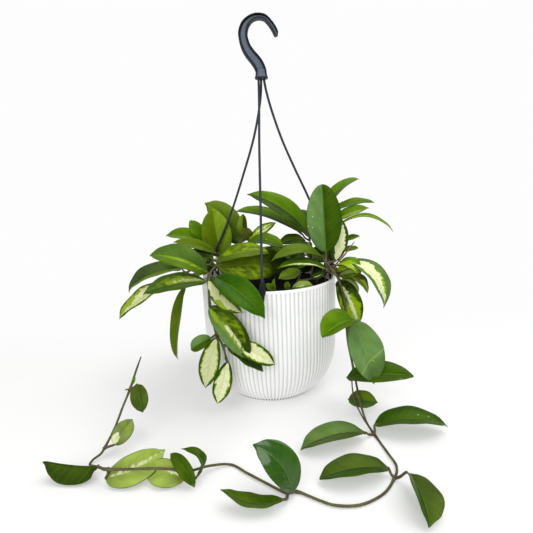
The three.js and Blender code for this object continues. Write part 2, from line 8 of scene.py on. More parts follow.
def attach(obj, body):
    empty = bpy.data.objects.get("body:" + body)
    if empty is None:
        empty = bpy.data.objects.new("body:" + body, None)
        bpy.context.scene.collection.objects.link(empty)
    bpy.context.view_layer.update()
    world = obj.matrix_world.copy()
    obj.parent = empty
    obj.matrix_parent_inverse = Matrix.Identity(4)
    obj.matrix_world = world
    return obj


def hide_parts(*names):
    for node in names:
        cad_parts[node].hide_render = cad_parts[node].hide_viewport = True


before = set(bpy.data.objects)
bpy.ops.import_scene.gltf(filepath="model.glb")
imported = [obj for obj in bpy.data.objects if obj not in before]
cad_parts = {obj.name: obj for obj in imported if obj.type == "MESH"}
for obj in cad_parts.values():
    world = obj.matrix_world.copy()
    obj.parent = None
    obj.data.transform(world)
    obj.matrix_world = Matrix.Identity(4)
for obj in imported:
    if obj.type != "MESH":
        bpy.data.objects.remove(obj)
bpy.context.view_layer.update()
mm = 0.001
print("frame loaded:", len(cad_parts), "solids")

# The photograph's camera: place in mm, angles in degrees, clipping in metres
photoCamera = {
    "place": (0, -532, 271), "pitch": 11.3, "yaw": -0.24, "roll": -2.35,
    "lens": 27.02, "sensor": 36, "near": 0.01, "far": 50,
}


def addCamera(view):
    pitch, yaw, roll = (math.radians(view[key]) for key in ("pitch", "yaw", "roll"))
    level = math.cos(pitch)
    forward = Vector((math.sin(yaw) * level, math.cos(yaw) * level, -math.sin(pitch)))
    right = Vector((math.cos(yaw), -math.sin(yaw), 0))
    up = right.cross(forward)
    across = right * math.cos(roll) + up * math.sin(roll)
    upright = up * math.cos(roll) - right * math.sin(roll)
    lensData = bpy.data.cameras.new("photoCamera")
    lensData.lens, lensData.sensor_width = view["lens"], view["sensor"]
    lensData.clip_start, lensData.clip_end = view["near"], view["far"]
    camera = bpy.data.objects.new("photoCamera", lensData)
    turn = Matrix((across, upright, -forward)).transposed().to_4x4()
    camera.matrix_world = Matrix.Translation(Vector(view["place"]) * mm) @ turn
    bpy.context.scene.collection.objects.link(camera)
    bpy.context.scene.camera = camera


addCamera(photoCamera)


# Colours, node trees and meshes
def paint(code):
    # A colour code of the screen as linear light
    parts = [int(code[i:i + 2], 16) / 255 for i in (1, 3, 5)]
    return (*[c / 12.92 if c < 0.04045 else ((c + 0.055) / 1.055) ** 2.4 for c in parts], 1)


def palette(look):
    return {key: paint(value) for key, value in look.items() if str(value).startswith("#")}


class Wire:
    # A node's output that can be reckoned with: every sum adds a node
    def __init__(self, socket, put):
        self.socket, self.put = socket, put

    def __getitem__(self, key):
        return Wire(self.socket.node.outputs[key], self.put)

    def calc(self, operation, other=0.0):
        return self.put("ShaderNodeMath", {0: self, 1: other}, operation=operation)

    def __add__(self, other):
        return self.calc("ADD", other)

    def __sub__(self, other):
        return self.calc("SUBTRACT", other)

    def __rsub__(self, other):
        return self.put("ShaderNodeMath", {0: other, 1: self}, operation="SUBTRACT")

    def __mul__(self, other):
        return self.calc("MULTIPLY", other)

    def __truediv__(self, other):
        return self.calc("DIVIDE", other)

    def __abs__(self):
        return self.calc("ABSOLUTE")

    def ranged(self, low, high, newLow=0.0, newHigh=1.0):
        inputs = {"Value": self, "From Min": low, "From Max": high, "To Min": newLow, "To Max": newHigh}
        return self.put("ShaderNodeMapRange", inputs)

    def between(self, first, second):
        return self.put("ShaderNodeMix", {0: self, 6: first, 7: second}, data_type="RGBA")[2]


def fill(node, inputs):
    # Links or sets a node's inputs; a list of wires goes into one joining input
    for key, value in inputs.items():
        for item in value if isinstance(value, list) else [value]:
            if isinstance(item, Wire):
                node.id_data.links.new(item.socket, node.inputs[key])
            else:
                node.inputs[key].default_value = item


def nodeDesk(tree):
    # Adds a node, sets its options, fills its inputs and hands on its first output
    def put(kind, inputs=None, **options):
        made = tree.nodes.new(kind)
        for key, value in options.items():
            setattr(made, key, value)
        fill(made, inputs or {})
        made.location = (190 * (len(tree.nodes) % 10), -280 * (len(tree.nodes) // 10))
        return Wire(made.outputs[0], put) if made.outputs else made
    return put


cloudSpan = (0.3, 0.7)  # where a noise has most of its values


def noise(put, vector, scale, detail, roughness=0.5):
    inputs = {"Vector": vector, "Scale": scale, "Detail": detail, "Roughness": roughness}
    return put("ShaderNodeTexNoise", inputs)


def attribute(put, name):
    return put("ShaderNodeAttribute", attribute_name=name)["Fac"]


def newFinish(name):
    material = bpy.data.materials.new(name)
    material.use_nodes = True
    return material, nodeDesk(material.node_tree), material.node_tree.nodes["Principled BSDF"]


def cloudyFinish(name, look, tinted):
    # Cloud and grain noise on the object vary a finish: tinted makes its colour from them
    material, put, shader = newFinish(name)
    place = put("ShaderNodeTexCoord")["Object"]
    cloud, grain = noise(put, place, *look["cloudNoise"]), noise(put, place, *look["grainNoise"])
    height = cloud * look["relief"]["cloud"] + grain * look["relief"]["grain"]
    bump = {"Height": height, "Strength": look["relief"]["strength"], "Distance": look["relief"]["distance"]}
    fill(shader, {
        "Base Color": tinted(put, place, cloud, grain), "Specular IOR Level": look["specular"],
        "Roughness": cloud.ranged(*cloudSpan, *look["roughness"]), "Normal": put("ShaderNodeBump", bump),
    })
    return material


def newObject(name, points, faces=(), edges=()):
    mesh = bpy.data.meshes.new(name)
    mesh.from_pydata([Vector(point) * mm for point in points], list(edges), list(faces))
    mesh.validate()
    made = bpy.data.objects.new(name, mesh)
    bpy.context.scene.collection.objects.link(made)
    return made


def smooth(made):
    made.data.polygons.foreach_set("use_smooth", [True] * len(made.data.polygons))


def fillAttribute(made, name, values, kind="FLOAT", field="value"):
    layer = made.data.attributes.new(name, kind, "POINT")
    layer.data.foreach_set(field, values)


def keepResult(made):
    # Turns the evaluated object into its own plain mesh
    graph = bpy.context.evaluated_depsgraph_get()
    result = bpy.data.meshes.new_from_object(made.evaluated_get(graph), depsgraph=graph)
    made.modifiers.clear()
    made.data = result
    result.name = made.name


def newTree(name, sockets):
    # A Geometry Nodes tree with named inputs: sockets maps each name to its kind of socket
    tree = bpy.data.node_groups.new(name, "GeometryNodeTree")
    for label, kind in {"Geometry": "Geometry", **sockets}.items():
        tree.interface.new_socket(name=label, in_out="INPUT", socket_type="NodeSocket" + kind)
    tree.interface.new_socket(name="Geometry", in_out="OUTPUT", socket_type="NodeSocketGeometry")
    put = nodeDesk(tree)
    return tree, put, put("NodeGroupInput")


def named(put, name):
    return put("GeometryNodeInputNamedAttribute", {"Name": name}, data_type="FLOAT")


def stored(put, geometry, name, value, domain="POINT"):
    inputs = {"Geometry": geometry, "Name": name, "Value": value}
    return put("GeometryNodeStoreNamedAttribute", inputs, data_type="FLOAT", domain=domain)


def endTree(put, geometry, material):
    rounded = put("GeometryNodeSetShadeSmooth", {"Geometry": geometry})
    real = put("GeometryNodeRealizeInstances", {0: rounded})
    put("NodeGroupOutput", {0: put("GeometryNodeSetMaterial", {"Geometry": real, "Material": material})})


def runTree(made, tree, values):
    # Sets the inputs by identifier
    modifier = made.modifiers.new(tree.name, "NODES")
    modifier.node_group = tree
    for item in tree.interface.items_tree:
        if item.in_out == "INPUT" and item.name in values:
            modifier[item.identifier] = values[item.name]
    keepResult(made)


def splinePoints(points, steps):
    # A smooth path through every point, with a few steps from each to the next
    rows = [Vector(point) for point in points]
    rows = [rows[0] * 2 - rows[1], *rows, rows[-1] * 2 - rows[-2]]
    path = []
    for i in range(1, len(rows) - 2):
        before, start, end, after = rows[i - 1:i + 3]
        gaps = [max((b - a).length ** 0.5, 1e-4) for a, b in ((before, start), (start, end), (end, after))]
        leave = (start - before) / gaps[0] - (end - before) / (gaps[0] + gaps[1]) + (end - start) / gaps[1]
        reach = (end - start) / gaps[1] - (after - start) / (gaps[1] + gaps[2]) + (after - end) / gaps[2]
        leave *= gaps[1]
        reach *= gaps[1]
        for step in range(steps):
            t = step / steps
            place = start + leave * t + (end * 3 - start * 3 - leave * 2 - reach) * t * t
            path.append(place + (start * 2 - end * 2 + leave + reach) * t ** 3)
    path.append(rows[-2])
    return path


def circle(radius, height, sides):
    turns = [2 * math.pi * i / sides for i in range(sides)]
    return [Vector((radius * math.cos(turn), radius * math.sin(turn), height)) for turn in turns]


def skinRings(rings):
    # Points and faces of a closed skin over rings that all have the same count
    count = len(rings[0])
    points = [point for ring in rings for point in ring]
    last, pole = len(points) - count, len(points)
    points += [sum(rings[0], Vector()) / count, sum(rings[-1], Vector()) / count]
    steps = [(i, (i + 1) % count) for i in range(count)]
    faces = [(r + i, r + j, r + count + j, r + count + i) for r in range(0, last, count) for i, j in steps]
    for i, j in steps:
        faces += [(j, i, pole), (last + i, last + j, pole + 1)]
    return points, faces


def addSolid(store, points, faces):
    # Adds one closed skin with its faces turned outward
    volume = sum(points[face[0]].dot(points[face[k]].cross(points[face[k + 1]]))
                 for face in faces for k in range(1, len(face) - 1))
    start, way = len(store["points"]), -1 if volume < 0 else 1
    store["points"] += points
    store["faces"] += [tuple(start + v for v in face[::way]) for face in faces]


# Floor, backdrop and studio light: the floor's shading fades into a plain white glow by distance and behind
# the pot, and a share of that glow everywhere is painted light that lightens the floor's shadows
studio = {
    "floorColour": "#f0f0ef", "grainNoise": (60.0, 3.0), "grainShade": 0.985, "roughness": 0.75,
    "specular": 0.15, "farWhite": 0.985, "nearGlow": 0.3, "farFade": (0.5, 1.2), "backFade": (-0.04, 0.24),
    "floorRadius": 6000, "floorSides": 96,
    "domeRadius": 8000, "domeRings": 16, "domeSides": 48, "domeFoot": -20,
    "skyLight": 0.3, "aim": (0, 0, 0.16),
    "lights": {
        "keyLight": {"place": (1.0, -0.2, 2.4), "size": 2.6, "power": 51},
        "fillLight": {"place": (-0.7, -2.4, 1.6), "size": 2.4, "power": 53},
        "backLight": {"place": (-0.2, 1.6, 2.2), "size": 1.8, "power": 7},
    },
}


def glowing(put, white):
    return put("ShaderNodeEmission", {"Color": (white, white, white, 1)})


def studioFloor(look):
    floor = newObject("studioFloor", circle(look["floorRadius"], 0, look["floorSides"]),
                      [range(look["floorSides"])])
    material, put, shader = newFinish("paleFloor")
    place = put("ShaderNodeTexCoord")["Object"]
    pale = paint(look["floorColour"])
    shaded = (*[c * look["grainShade"] for c in pale[:3]], 1)
    fill(shader, {
        "Base Color": noise(put, place, *look["grainNoise"]).between(shaded, pale),
        "Roughness": look["roughness"], "Specular IOR Level": look["specular"],
    })
    distance = put("ShaderNodeVectorMath", {0: place}, operation="LENGTH")["Value"]
    behind = put("ShaderNodeSeparateXYZ", {0: place})[1]
    fade = distance.ranged(*look["farFade"]).calc("MAXIMUM", behind.ranged(*look["backFade"]))
    # Painted light: at least this share of the floor glows, which lightens every shadow on it
    fade = fade.calc("MAXIMUM", look["nearGlow"])
    shading = Wire(shader.outputs[0], put)
    blend = put("ShaderNodeMixShader", {0: fade, 1: shading, 2: glowing(put, look["farWhite"])})
    fill(material.node_tree.nodes["Material Output"], {0: blend})
    floor.data.materials.append(material)


def studioDome(look):
    # Seen by the camera alone, so that it adds no light; it is open below the floor
    sides, radius, foot = look["domeSides"], look["domeRadius"], look["domeFoot"]
    angles = [math.radians(foot + (90 - foot) * r / look["domeRings"]) for r in range(look["domeRings"])]
    points, faces = skinRings([circle(radius * math.cos(a), radius * math.sin(a), sides) for a in angles])
    low, top = len(points) - 2, len(points) - 1
    points[low:] = [Vector((0, 0, radius))]
    faces = [tuple(low if v == top else v for v in face) for face in faces if low not in face]
    dome = newObject("studioDome", points, faces)
    material, put, _ = newFinish("studioWhite")
    fill(material.node_tree.nodes["Material Output"], {0: glowing(put, look["farWhite"])})
    dome.data.materials.append(material)
    dome.visible_diffuse = dome.visible_glossy = dome.visible_transmission = dome.visible_shadow = False


def softLight(name, row, aim):
    data = bpy.data.lights.new(name, "AREA")
    data.shape = "DISK"
    data.size, data.energy = row["size"], row["power"]
    lamp = bpy.data.objects.new(name, data)
    turn = (Vector(aim) - Vector(row["place"])).to_track_quat("-Z", "Y").to_matrix().to_4x4()
    lamp.matrix_world = Matrix.Translation(row["place"]) @ turn
    lamp.visible_camera = False
    bpy.context.scene.collection.objects.link(lamp)


studioFloor(studio)
studioDome(studio)
for lightName, lightRow in studio["lights"].items():
    softLight(lightName, lightRow, studio["aim"])
world = bpy.data.worlds.new("studioSky")
world.use_nodes = True
fill(world.node_tree.nodes["Background"], {"Color": (1, 1, 1, 1), "Strength": studio["skyLight"]})
bpy.context.scene.world = world
bpy.context.scene.view_settings.view_transform = "Standard"
print("studio ready")

# Pot: a wall of rounded ribs on an elliptical bowl, made by revolving its outline.
# Rows have radius, height and the ribs' share: foot rows count from the foot's edge, lip rows from the rim
potSize = {
    "height": 153, "rimRadius": 90, "bowlRadius": 89, "bowlHeight": 64, "footRadius": 49, "footEdge": 60.6,
    "wall": 2.6, "ribs": 104, "ribDepth": 0.9, "ribRoundness": 0.8, "stepsEachRib": 8,
    "weld": 0.02, "underRows": [(0, 1, 0), (30, 1, 0)],
    "footRows": [(-5, 1, 0), (-3.6, 0.4, 0), (-3, 0, 0), (-0.9, 0, 0.4), (-0.2, 0.3, 1), (0.1, 1.2, 1),
                 (0.5, 2.5, 1)],
    "bowlSteps": 22, "bowlStart": 5, "wallRows": [76, 92, 108, 124, 140, 148.8], "insideSteps": 8,
    "lipRows": [(0, -3.5, 0.55), (0, -3, 0), (0, -2.7, 0), (0, -0.7, 0), (-0.2, -0.2, 0), (-0.7, 0, 0),
                (-2, 0, 0), (-2.45, -0.2, 0), (-2.6, -0.7, 0), (-2.6, -3, 0), (-3.1, -7, 0)],
}
# The groove colour is painted shade in the recesses between the ribs; the foot colour is a painted contact
# shadow where the ribs meet the floor
potLook = {
    "white": "#f6f6f6", "groove": "#c9cbc8", "cloud": "#e4e4e2", "foot": "#3a3028",
    "ribShade": (0.05, 0.8), "clouded": (0.35, 0.7, 0.0, 0.05), "footHeight": (0.0024, 0.0034, 1.0, 0.0),
    "footGroove": (0.4, 0.8, 1.0, 0.0), "cloudNoise": (14.0, 4.0), "grainNoise": (1400.0, 2.0),
    "roughness": (0.31, 0.44), "specular": 0.5,
    "relief": {"cloud": 0.0, "grain": 1.0, "strength": 0.06, "distance": 0.0002},
}


def potTint(put, place, cloud, grain):
    hue, ribTop = palette(potLook), attribute(put, "ribTop")
    # Painted shade: grey in the grooves between the ribs
    tint = ribTop.ranged(*potLook["ribShade"]).between(hue["groove"], hue["white"])
    tint = cloud.ranged(*potLook["clouded"]).between(tint, hue["cloud"])
    # Painted shadow: dark brown in the grooves' lowest few millimetres, the contact shadow where the ribs
    # meet the floor
    low = put("ShaderNodeSeparateXYZ", {0: place})[2].ranged(*potLook["footHeight"])
    return (low * ribTop.ranged(*potLook["footGroove"])).between(tint, hue["foot"])


def potOutline(size):
    # Radius, height and share of rib depth at each row, from the underside round to the inside floor
    foot, bowl, rise = size["footRadius"], size["bowlRadius"], size["bowlHeight"]
    rim, top, wall = size["rimRadius"], size["height"], size["wall"]
    rows = [*size["underRows"], *[(size["footEdge"] + out, z, share) for out, z, share in size["footRows"]]]
    for i in range(size["bowlStart"], size["bowlSteps"] + 1):
        turn = math.radians(90 * (1 - i / size["bowlSteps"]))
        rows.append((foot + (bowl - foot) * math.cos(turn), rise * (1 - math.sin(turn)), 1))
    rows += [(bowl + (rim - bowl) * (z - rise) / (top - rise), z, 1) for z in size["wallRows"]]
    rows += [(rim + out, top + z, share) for out, z, share in size["lipRows"]]
    inside = bowl - wall - size["ribDepth"]
    for i in range(size["insideSteps"] + 1):
        turn = math.radians(90 * i / size["insideSteps"])
        rows.append((foot + (inside - foot) * math.cos(turn), rise - (rise - wall) * math.sin(turn), 0))
    return [*rows, (0, wall, 0)]


def ribbedPotTree(material):
    sockets = {"Ribs": "Int", "Steps each rib": "Int", "Rib depth": "Float", "Rib roundness": "Float"}
    tree, put, given = newTree("ribbedPot", sockets)
    rowCount = put("GeometryNodeAttributeDomainSize", {0: given})["Point Count"]
    turns = given["Ribs"] * given["Steps each rib"]
    grid = put("GeometryNodeMeshGrid",
               {"Size X": 1.0, "Size Y": 1.0, "Vertices X": turns + 1.0, "Vertices Y": rowCount})
    index = put("GeometryNodeInputIndex")
    column = ((index + 0.5) / rowCount).calc("FLOOR")
    row = index - column * rowCount

    def sampled(value, kind):
        inputs = {"Geometry": given, "Value": value, "Index": row}
        return put("GeometryNodeSampleIndex", inputs, data_type=kind)

    parts = put("ShaderNodeSeparateXYZ", {0: sampled(put("GeometryNodeInputPosition"), "FLOAT_VECTOR")})
    turn = column / turns * (2 * math.pi)
    ribTop = abs((turn * given["Ribs"] * 0.5).calc("COSINE")).calc("POWER", given["Rib roundness"])
    sunk = (1.0 - ribTop) * sampled(named(put, "ribShare"), "FLOAT")
    radius = parts[0] - sunk * given["Rib depth"]
    corner = {0: radius * turn.calc("COSINE"), 1: radius * turn.calc("SINE"), 2: parts[2]}
    marked = stored(put, grid, "ribTop", 1.0 - sunk)
    placed = put("GeometryNodeSetPosition",
                 {"Geometry": marked, "Position": put("ShaderNodeCombineXYZ", corner)})
    closed = put("GeometryNodeMergeByDistance", {"Geometry": placed, "Distance": potSize["weld"] * mm})
    endTree(put, put("GeometryNodeFlipFaces", {0: closed}), material)
    return tree


def makePot(size, look):
    rows = potOutline(size)
    shell = newObject("potShell", [(radius, 0, height) for radius, height, _ in rows])
    fillAttribute(shell, "ribShare", [share for _, _, share in rows])
    values = {
        "Ribs": size["ribs"], "Steps each rib": size["stepsEachRib"],
        "Rib depth": size["ribDepth"] * mm, "Rib roundness": size["ribRoundness"],
    }
    runTree(shell, ribbedPotTree(cloudyFinish("potPlastic", look, potTint)), values)
    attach(shell, "root")
    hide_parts("pot")
    print("pot:", len(shell.data.polygons), "faces")


makePot(potSize, potLook)

# Soil: a low dome of dark compost with loose crumbs. Under rows are its radius and height inside the pot
soilSize = {
    "top": 143, "settled": 0.6, "dome": 3, "radius": 85.6, "sides": 96, "rings": 26,
    "under": [(48.5, 3.2), (70, 16), (81, 38), (84.6, 64), (84.9, 100)],
    "lumpHeight": 6.4, "lumpNoise": (110.0, 4.0), "lumpMiddle": 0.62,
    "crumbsEachSquareCm": 9.0, "crumbRadius": 1.5, "crumbShare": (0.35, 1.0), "topFrom": 0.9, "seed": 7,
    "crumbShape": ((0.6, 0.6, 0.4), (1.3, 1.1, 0.8), 3), "crumbTurn": ((0, 0, 0), (6.28, 6.28, 6.28), 5),
    "crumbTone": (0.0, 1.0, 9),
}
soilLook = {
    "earth": "#060403", "crumb": "#0f0a07", "chip": "#3a2e22", "chipShare": (0.86, 0.97),
    "cloudNoise": (160.0, 6.0, 0.7), "grainNoise": (1500.0, 4.0), "roughness": (0.8, 1.0), "specular": 0.1,
    "relief": {"cloud": 1.0, "grain": 0.5, "strength": 0.8, "distance": 0.001},
}


def soilTint(put, place, cloud, grain):
    hue = palette(soilLook)
    earth = cloud.between(hue["earth"], hue["crumb"])
    return attribute(put, "crumbTone").ranged(*soilLook["chipShare"]).between(earth, hue["chip"])


def crumbTree(size, material):
    sockets = {"Lump height": "Float", "Crumb density": "Float", "Crumb radius": "Float", "Seed": "Int"}
    tree, put, given = newTree("soilCrumbs", sockets)
    upper = named(put, "upper")
    lump = noise(put, put("GeometryNodeInputPosition"), *size["lumpNoise"]) - size["lumpMiddle"]
    lift = put("ShaderNodeCombineXYZ", {2: lump * (upper * given["Lump height"])})
    bed = put("GeometryNodeSetPosition", {"Geometry": given, "Offset": lift})
    onTop = {"Selection": upper.calc("GREATER_THAN", size["topFrom"]), "Density": given["Crumb density"]}
    scattered = put("GeometryNodeDistributePointsOnFaces", {"Mesh": bed, **onTop, "Seed": given["Seed"]})

    def drawn(low, high, seed):
        return put("FunctionNodeRandomValue", {2: low, 3: high, "Seed": seed}, data_type="FLOAT")[1]

    def drawnVector(low, high, seed):
        return put("FunctionNodeRandomValue", {0: low, 1: high, "Seed": seed}, data_type="FLOAT_VECTOR")

    shape = {0: drawnVector(*size["crumbShape"])}
    shape["Scale"] = drawn(*size["crumbShare"], given["Seed"]) * given["Crumb radius"]
    crumbs = put("GeometryNodeInstanceOnPoints", {
        "Points": scattered, "Instance": put("GeometryNodeMeshIcoSphere", {"Radius": 1.0, "Subdivisions": 1}),
        "Rotation": drawnVector(*size["crumbTurn"]),
        "Scale": put("ShaderNodeVectorMath", shape, operation="SCALE"),
    })
    toned = stored(put, crumbs, "crumbTone", drawn(*size["crumbTone"]), "INSTANCE")
    endTree(put, put("GeometryNodeJoinGeometry", {0: [bed, toned]}), material)
    return tree


def makeSoil(size, look):
    sides, rings, top = size["sides"], size["rings"], size["top"] - size["settled"]
    shares = [1 - r / rings for r in range(rings)]
    dome = [(size["radius"] * share, top - size["dome"] * share ** 2) for share in shares]
    points, faces = skinRings([circle(radius, height, sides) for radius, height in size["under"] + dome])
    points[-2:] = [Vector((0, 0, size["under"][0][1])), Vector((0, 0, top))]
    bed = newObject("soilBed", points, faces)
    fillAttribute(bed, "upper", [0] * sides * (len(size["under"]) + 1) + [1] * sides * (rings - 1) + [0, 1])
    values = {
        "Lump height": size["lumpHeight"] * mm, "Crumb density": size["crumbsEachSquareCm"] * 10000,
        "Crumb radius": size["crumbRadius"] * mm, "Seed": size["seed"],
    }
    runTree(bed, crumbTree(size, cloudyFinish("darkCompost", look, soilTint)), values)
    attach(bed, "root")
    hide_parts("soil")
    print("soil:", len(bed.data.polygons), "faces")


makeSoil(soilSize, soilLook)

# Hanger: a hook of I-shaped section on a hub, and three arms that end in clips on the rim.
# The hook's line has x, z and half width; the hub's outline has radius and height above the line's foot
hookSize = {
    "depth": 11, "flange": 1.3, "pocket": 3, "edge": 0.5, "steps": 9, "endLength": 2.2, "endTaper": 0.45,
    "pocketRamp": 0.8, "sharpAngle": 50, "hubSides": 48, "hubMiddle": (1, 0), "hubWeb": 0.62,
    "hubWebFoot": 0.6,
    "webSteps": [(2.2, 0.4), (1.4, 0.6)], "webMark": (2, 0.5), "leastWeb": 0.3, "fillet": 0.4,
    "flangeFoot": (0.1, 0.2), "flangeTop": 0.3, "edgeMiddle": (0.12, 0.14),
    "line": [
        (1, 402, 6.6), (1, 410, 6.6), (-2, 418, 6.4), (-6.5, 424.5, 6.2), (-11.5, 430.5, 6),
        (-15.8, 437.5, 5.8), (-18.5, 445.5, 5.7), (-19.3, 454, 5.6), (-16.6, 462.5, 4.8), (-13, 466.8, 4),
        (-8.2, 470.2, 3.2), (-1, 472, 2.7), (7.5, 470.4, 2.6), (13.8, 464.4, 2.7), (19, 456.6, 2.9),
        (21.6, 450.4, 2.7),
    ],
    "hub": [
        (7.5, 0), (8.05, 0.15), (8.25, 0.6), (8.05, 1.6), (7.4, 3.6), (6.95, 6.2), (6.8, 7.4), (6.8, 9.3),
        (6.6, 9.8), (6.1, 10), (6, 10),
    ],
}
# web is a painted reflection: the hook's sunk web is painted lighter slate blue than its near-black flanges
hangerLook = {
    "slate": "#101216", "rod": "#2a303b", "worn": "#343a45", "web": "#565f71",
    "clouded": (0.4, 0.75, 0.0, 0.35), "wornEdge": (0.52, 0.58, 0.0, 0.12),
    "cloudNoise": (45.0, 4.0), "grainNoise": (700.0, 2.0), "roughness": (0.36, 0.52), "specular": 0.22,
    "relief": {"cloud": 0.0, "grain": 1.0, "strength": 0.03, "distance": 0.0003},
}


def hangerTint(main):
    def tinted(put, place, cloud, grain):
        hue, edge = palette(hangerLook), put("ShaderNodeNewGeometry")["Pointiness"]
        tint = cloud.ranged(*hangerLook["clouded"]).between(hue[main], hue["worn"])
        tint = edge.ranged(*hangerLook["wornEdge"]).between(tint, hue["worn"])
        # Painted reflection: the sunk web takes the lighter web colour
        return attribute(put, "hookWeb").between(tint, hue["web"])
    return tinted


def hookRings(size):
    # The hook's cross-sections along its line, with a 1 for each point on the sunk web
    line, steps, deep, soft = size["line"], size["steps"], size["depth"] / 2, size["edge"]
    path = splinePoints([(x, 0, z) for x, z, _ in line], steps)
    rings, inWeb, lengths = [], [], [0.0]
    for a, b in zip(path, path[1:]):
        lengths.append(lengths[-1] + (b - a).length)
    for i, place in enumerate(path):
        row = min(i // steps, len(line) - 2)
        half = line[row][2] + (line[row + 1][2] - line[row][2]) * (i - row * steps) / steps
        toTip = lengths[-1] - lengths[i]
        half *= 1 - size["endTaper"] * max(0, 1 - toTip / size["endLength"]) ** 2
        inside = min(lengths[i], toTip) - size["flange"]
        pocket = size["pocket"] * min(1, max(0, inside / size["pocketRamp"]))
        along = (path[min(i + 1, len(path) - 1)] - path[max(i - 1, 0)]).normalized()
        across = Vector((-along.z, 0, along.x))
        # A quarter of the section: the web, the fillet up to the flange, and the flange's soft edge
        web, sunk, fillet = max(half - size["flange"], size["leastWeb"]), deep - pocket, size["fillet"]
        (out, down), (inward, under), (back, share) = size["flangeFoot"], size["edgeMiddle"], size["webMark"]
        quarter = [(max(web - step, web * least), sunk) for step, least in size["webSteps"]]
        quarter += [(web - fillet, sunk), (web, sunk + min(fillet, pocket)), (web + out, deep - down),
                    (web + size["flangeTop"], deep), (half - soft, deep), (half - inward, deep - under),
                    (half, deep - soft)]
        corner = [*quarter, *[(s, -y) for s, y in reversed(quarter)]]
        section = corner + [(-s, y) for s, y in reversed(corner)]
        rings.append([place + across * s + Vector((0, y, 0)) for s, y in section])
        inWeb += [1 if abs(s) < max(web - back, web * share) else 0 for s, y in section]
    return rings, [*inWeb, 0, 0]


def makeHook(size, material):
    rings, inWeb = hookRings(size)
    hub = []
    for radius, height in size["hub"]:
        ring = circle(radius, size["line"][0][1] + height, size["hubSides"])
        limit = size["hubWeb"] * radius if height > size["hubWebFoot"] else 0
        inWeb += [1 if abs(point.x) < limit else 0 for point in ring]
        hub.append([point + Vector((*size["hubMiddle"], 0)) for point in ring])
    store = {"points": [], "faces": []}
    addSolid(store, *skinRings(rings))
    addSolid(store, *skinRings(hub))
    hook = newObject("hangerHook", store["points"], store["faces"])
    fillAttribute(hook, "hookWeb", [*inWeb, 0, 0])
    smooth(hook)
    hook.data.set_sharp_from_angle(angle=math.radians(size["sharpAngle"]))
    hook.data.materials.append(material)
    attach(hook, "root")
    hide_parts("hook")


# Each arm starts at x, y in the hub and bends through its points; a clip's sizes count from the rim's top
armSize = {
    "radius": 1.5, "footSwell": 1.5, "socket": 6, "socketPlay": 0.3, "socketDrop": 2, "steps": 10,
    "upright": 6, "skin": {"Sides": 14, "Bark depth": 0.0, "Bark scale": 1.0},
    "clip": {
        "width": 8, "top": 9.5, "slot": 2.1, "plate": 2, "roof": 0.3, "block": 0.6, "shoulder": -1,
        "outerTongue": 14, "innerTongue": 11, "tongueEnd": 1.2, "upperTaper": 0.15, "lowerTaper": 0.36,
        "bevel": 0.3, "bevelSegments": 3, "sharpAngle": 35, "sunk": 1,
        "ribs": [-0.9, 0.9], "ribHalf": 0.55, "ribIn": 0.4, "ribOut": 0.55, "ribFoot": -1.5, "ribTop": 1.2,
    },
    "arms": {
        "front": {"turn": 265, "start": (-2.6, -2.6),
                  "bend": [(-3, -4, 377), (-5, -26, 315), (-6, -50, 256), (-7, -74, 199)]},
        "left": {"turn": 161, "start": (0.6, 1),
                 "bend": [(-1.4, 2, 378), (-11, 6, 336), (-29, 13, 285), (-50, 19, 232), (-73, 26, 186)]},
        "right": {"turn": 7, "start": (4.4, 1),
                  "bend": [(9, 2, 377), (23, 5, 333), (39, 8, 295), (58, 10, 253), (75, 11, 208)]},
    },
}


skinShape = {"barkDetail": 3.0, "barkMiddle": 0.55, "scar": (14, 1.02), "scarWire": (6, 0.22)}


def skinTree(name, material, shape, scars):
    # A skin over paths whose points carry their thickness; rings stand at the points marked as scars
    sockets = {"Sides": "Int", "Bark depth": "Float", "Bark scale": "Float"}
    tree, put, given = newTree(name, sockets)

    def ring(sides, radius):
        return put("GeometryNodeCurvePrimitiveCircle", {"Resolution": sides, "Radius": radius})

    def skinned(curve, profile, **more):
        inputs = {"Curve": curve, "Profile Curve": profile, "Fill Caps": True, **more}
        return put("GeometryNodeCurveToMesh", inputs)

    curve = put("GeometryNodeMeshToCurve", {"Mesh": given})
    thickness = named(put, "thickness")
    sized = put("GeometryNodeSetCurveRadius", {"Curve": curve, "Radius": thickness})
    skin = skinned(sized, ring(given["Sides"], 1.0), Scale=thickness)
    bark = noise(put, put("GeometryNodeInputPosition"), given["Bark scale"], shape["barkDetail"])
    lift = {0: put("GeometryNodeInputNormal"), "Scale": (bark - shape["barkMiddle"]) * given["Bark depth"]}
    offset = put("ShaderNodeVectorMath", lift, operation="SCALE")
    whole = put("GeometryNodeSetPosition", {"Geometry": skin, "Offset": offset})
    if scars:
        turn = put("FunctionNodeAlignRotationToVector", {"Vector": put("GeometryNodeInputTangent")}, axis="Z")
        rings = put("GeometryNodeInstanceOnPoints", {
            "Points": curve, "Selection": named(put, "scar").calc("GREATER_THAN", 0.5),
            "Instance": skinned(ring(*shape["scar"]), ring(*shape["scarWire"])),
            "Rotation": turn, "Scale": thickness,
        })
        whole = put("GeometryNodeJoinGeometry", {0: [whole, rings]})
    endTree(put, whole, material)
    return tree


def skinPaths(name, paths, tree, values):
    # paths: lists of (point, thickness, scar)
    edges, rows = [], []
    for path in paths:
        edges += [(len(rows) + i, len(rows) + i + 1) for i in range(len(path) - 1)]
        rows += path
    made = newObject(name, [point for point, _, _ in rows], edges=edges)
    fillAttribute(made, "thickness", [thick * mm for _, thick, _ in rows])
    fillAttribute(made, "scar", [scar for _, _, scar in rows])
    runTree(made, tree, values)
    return made


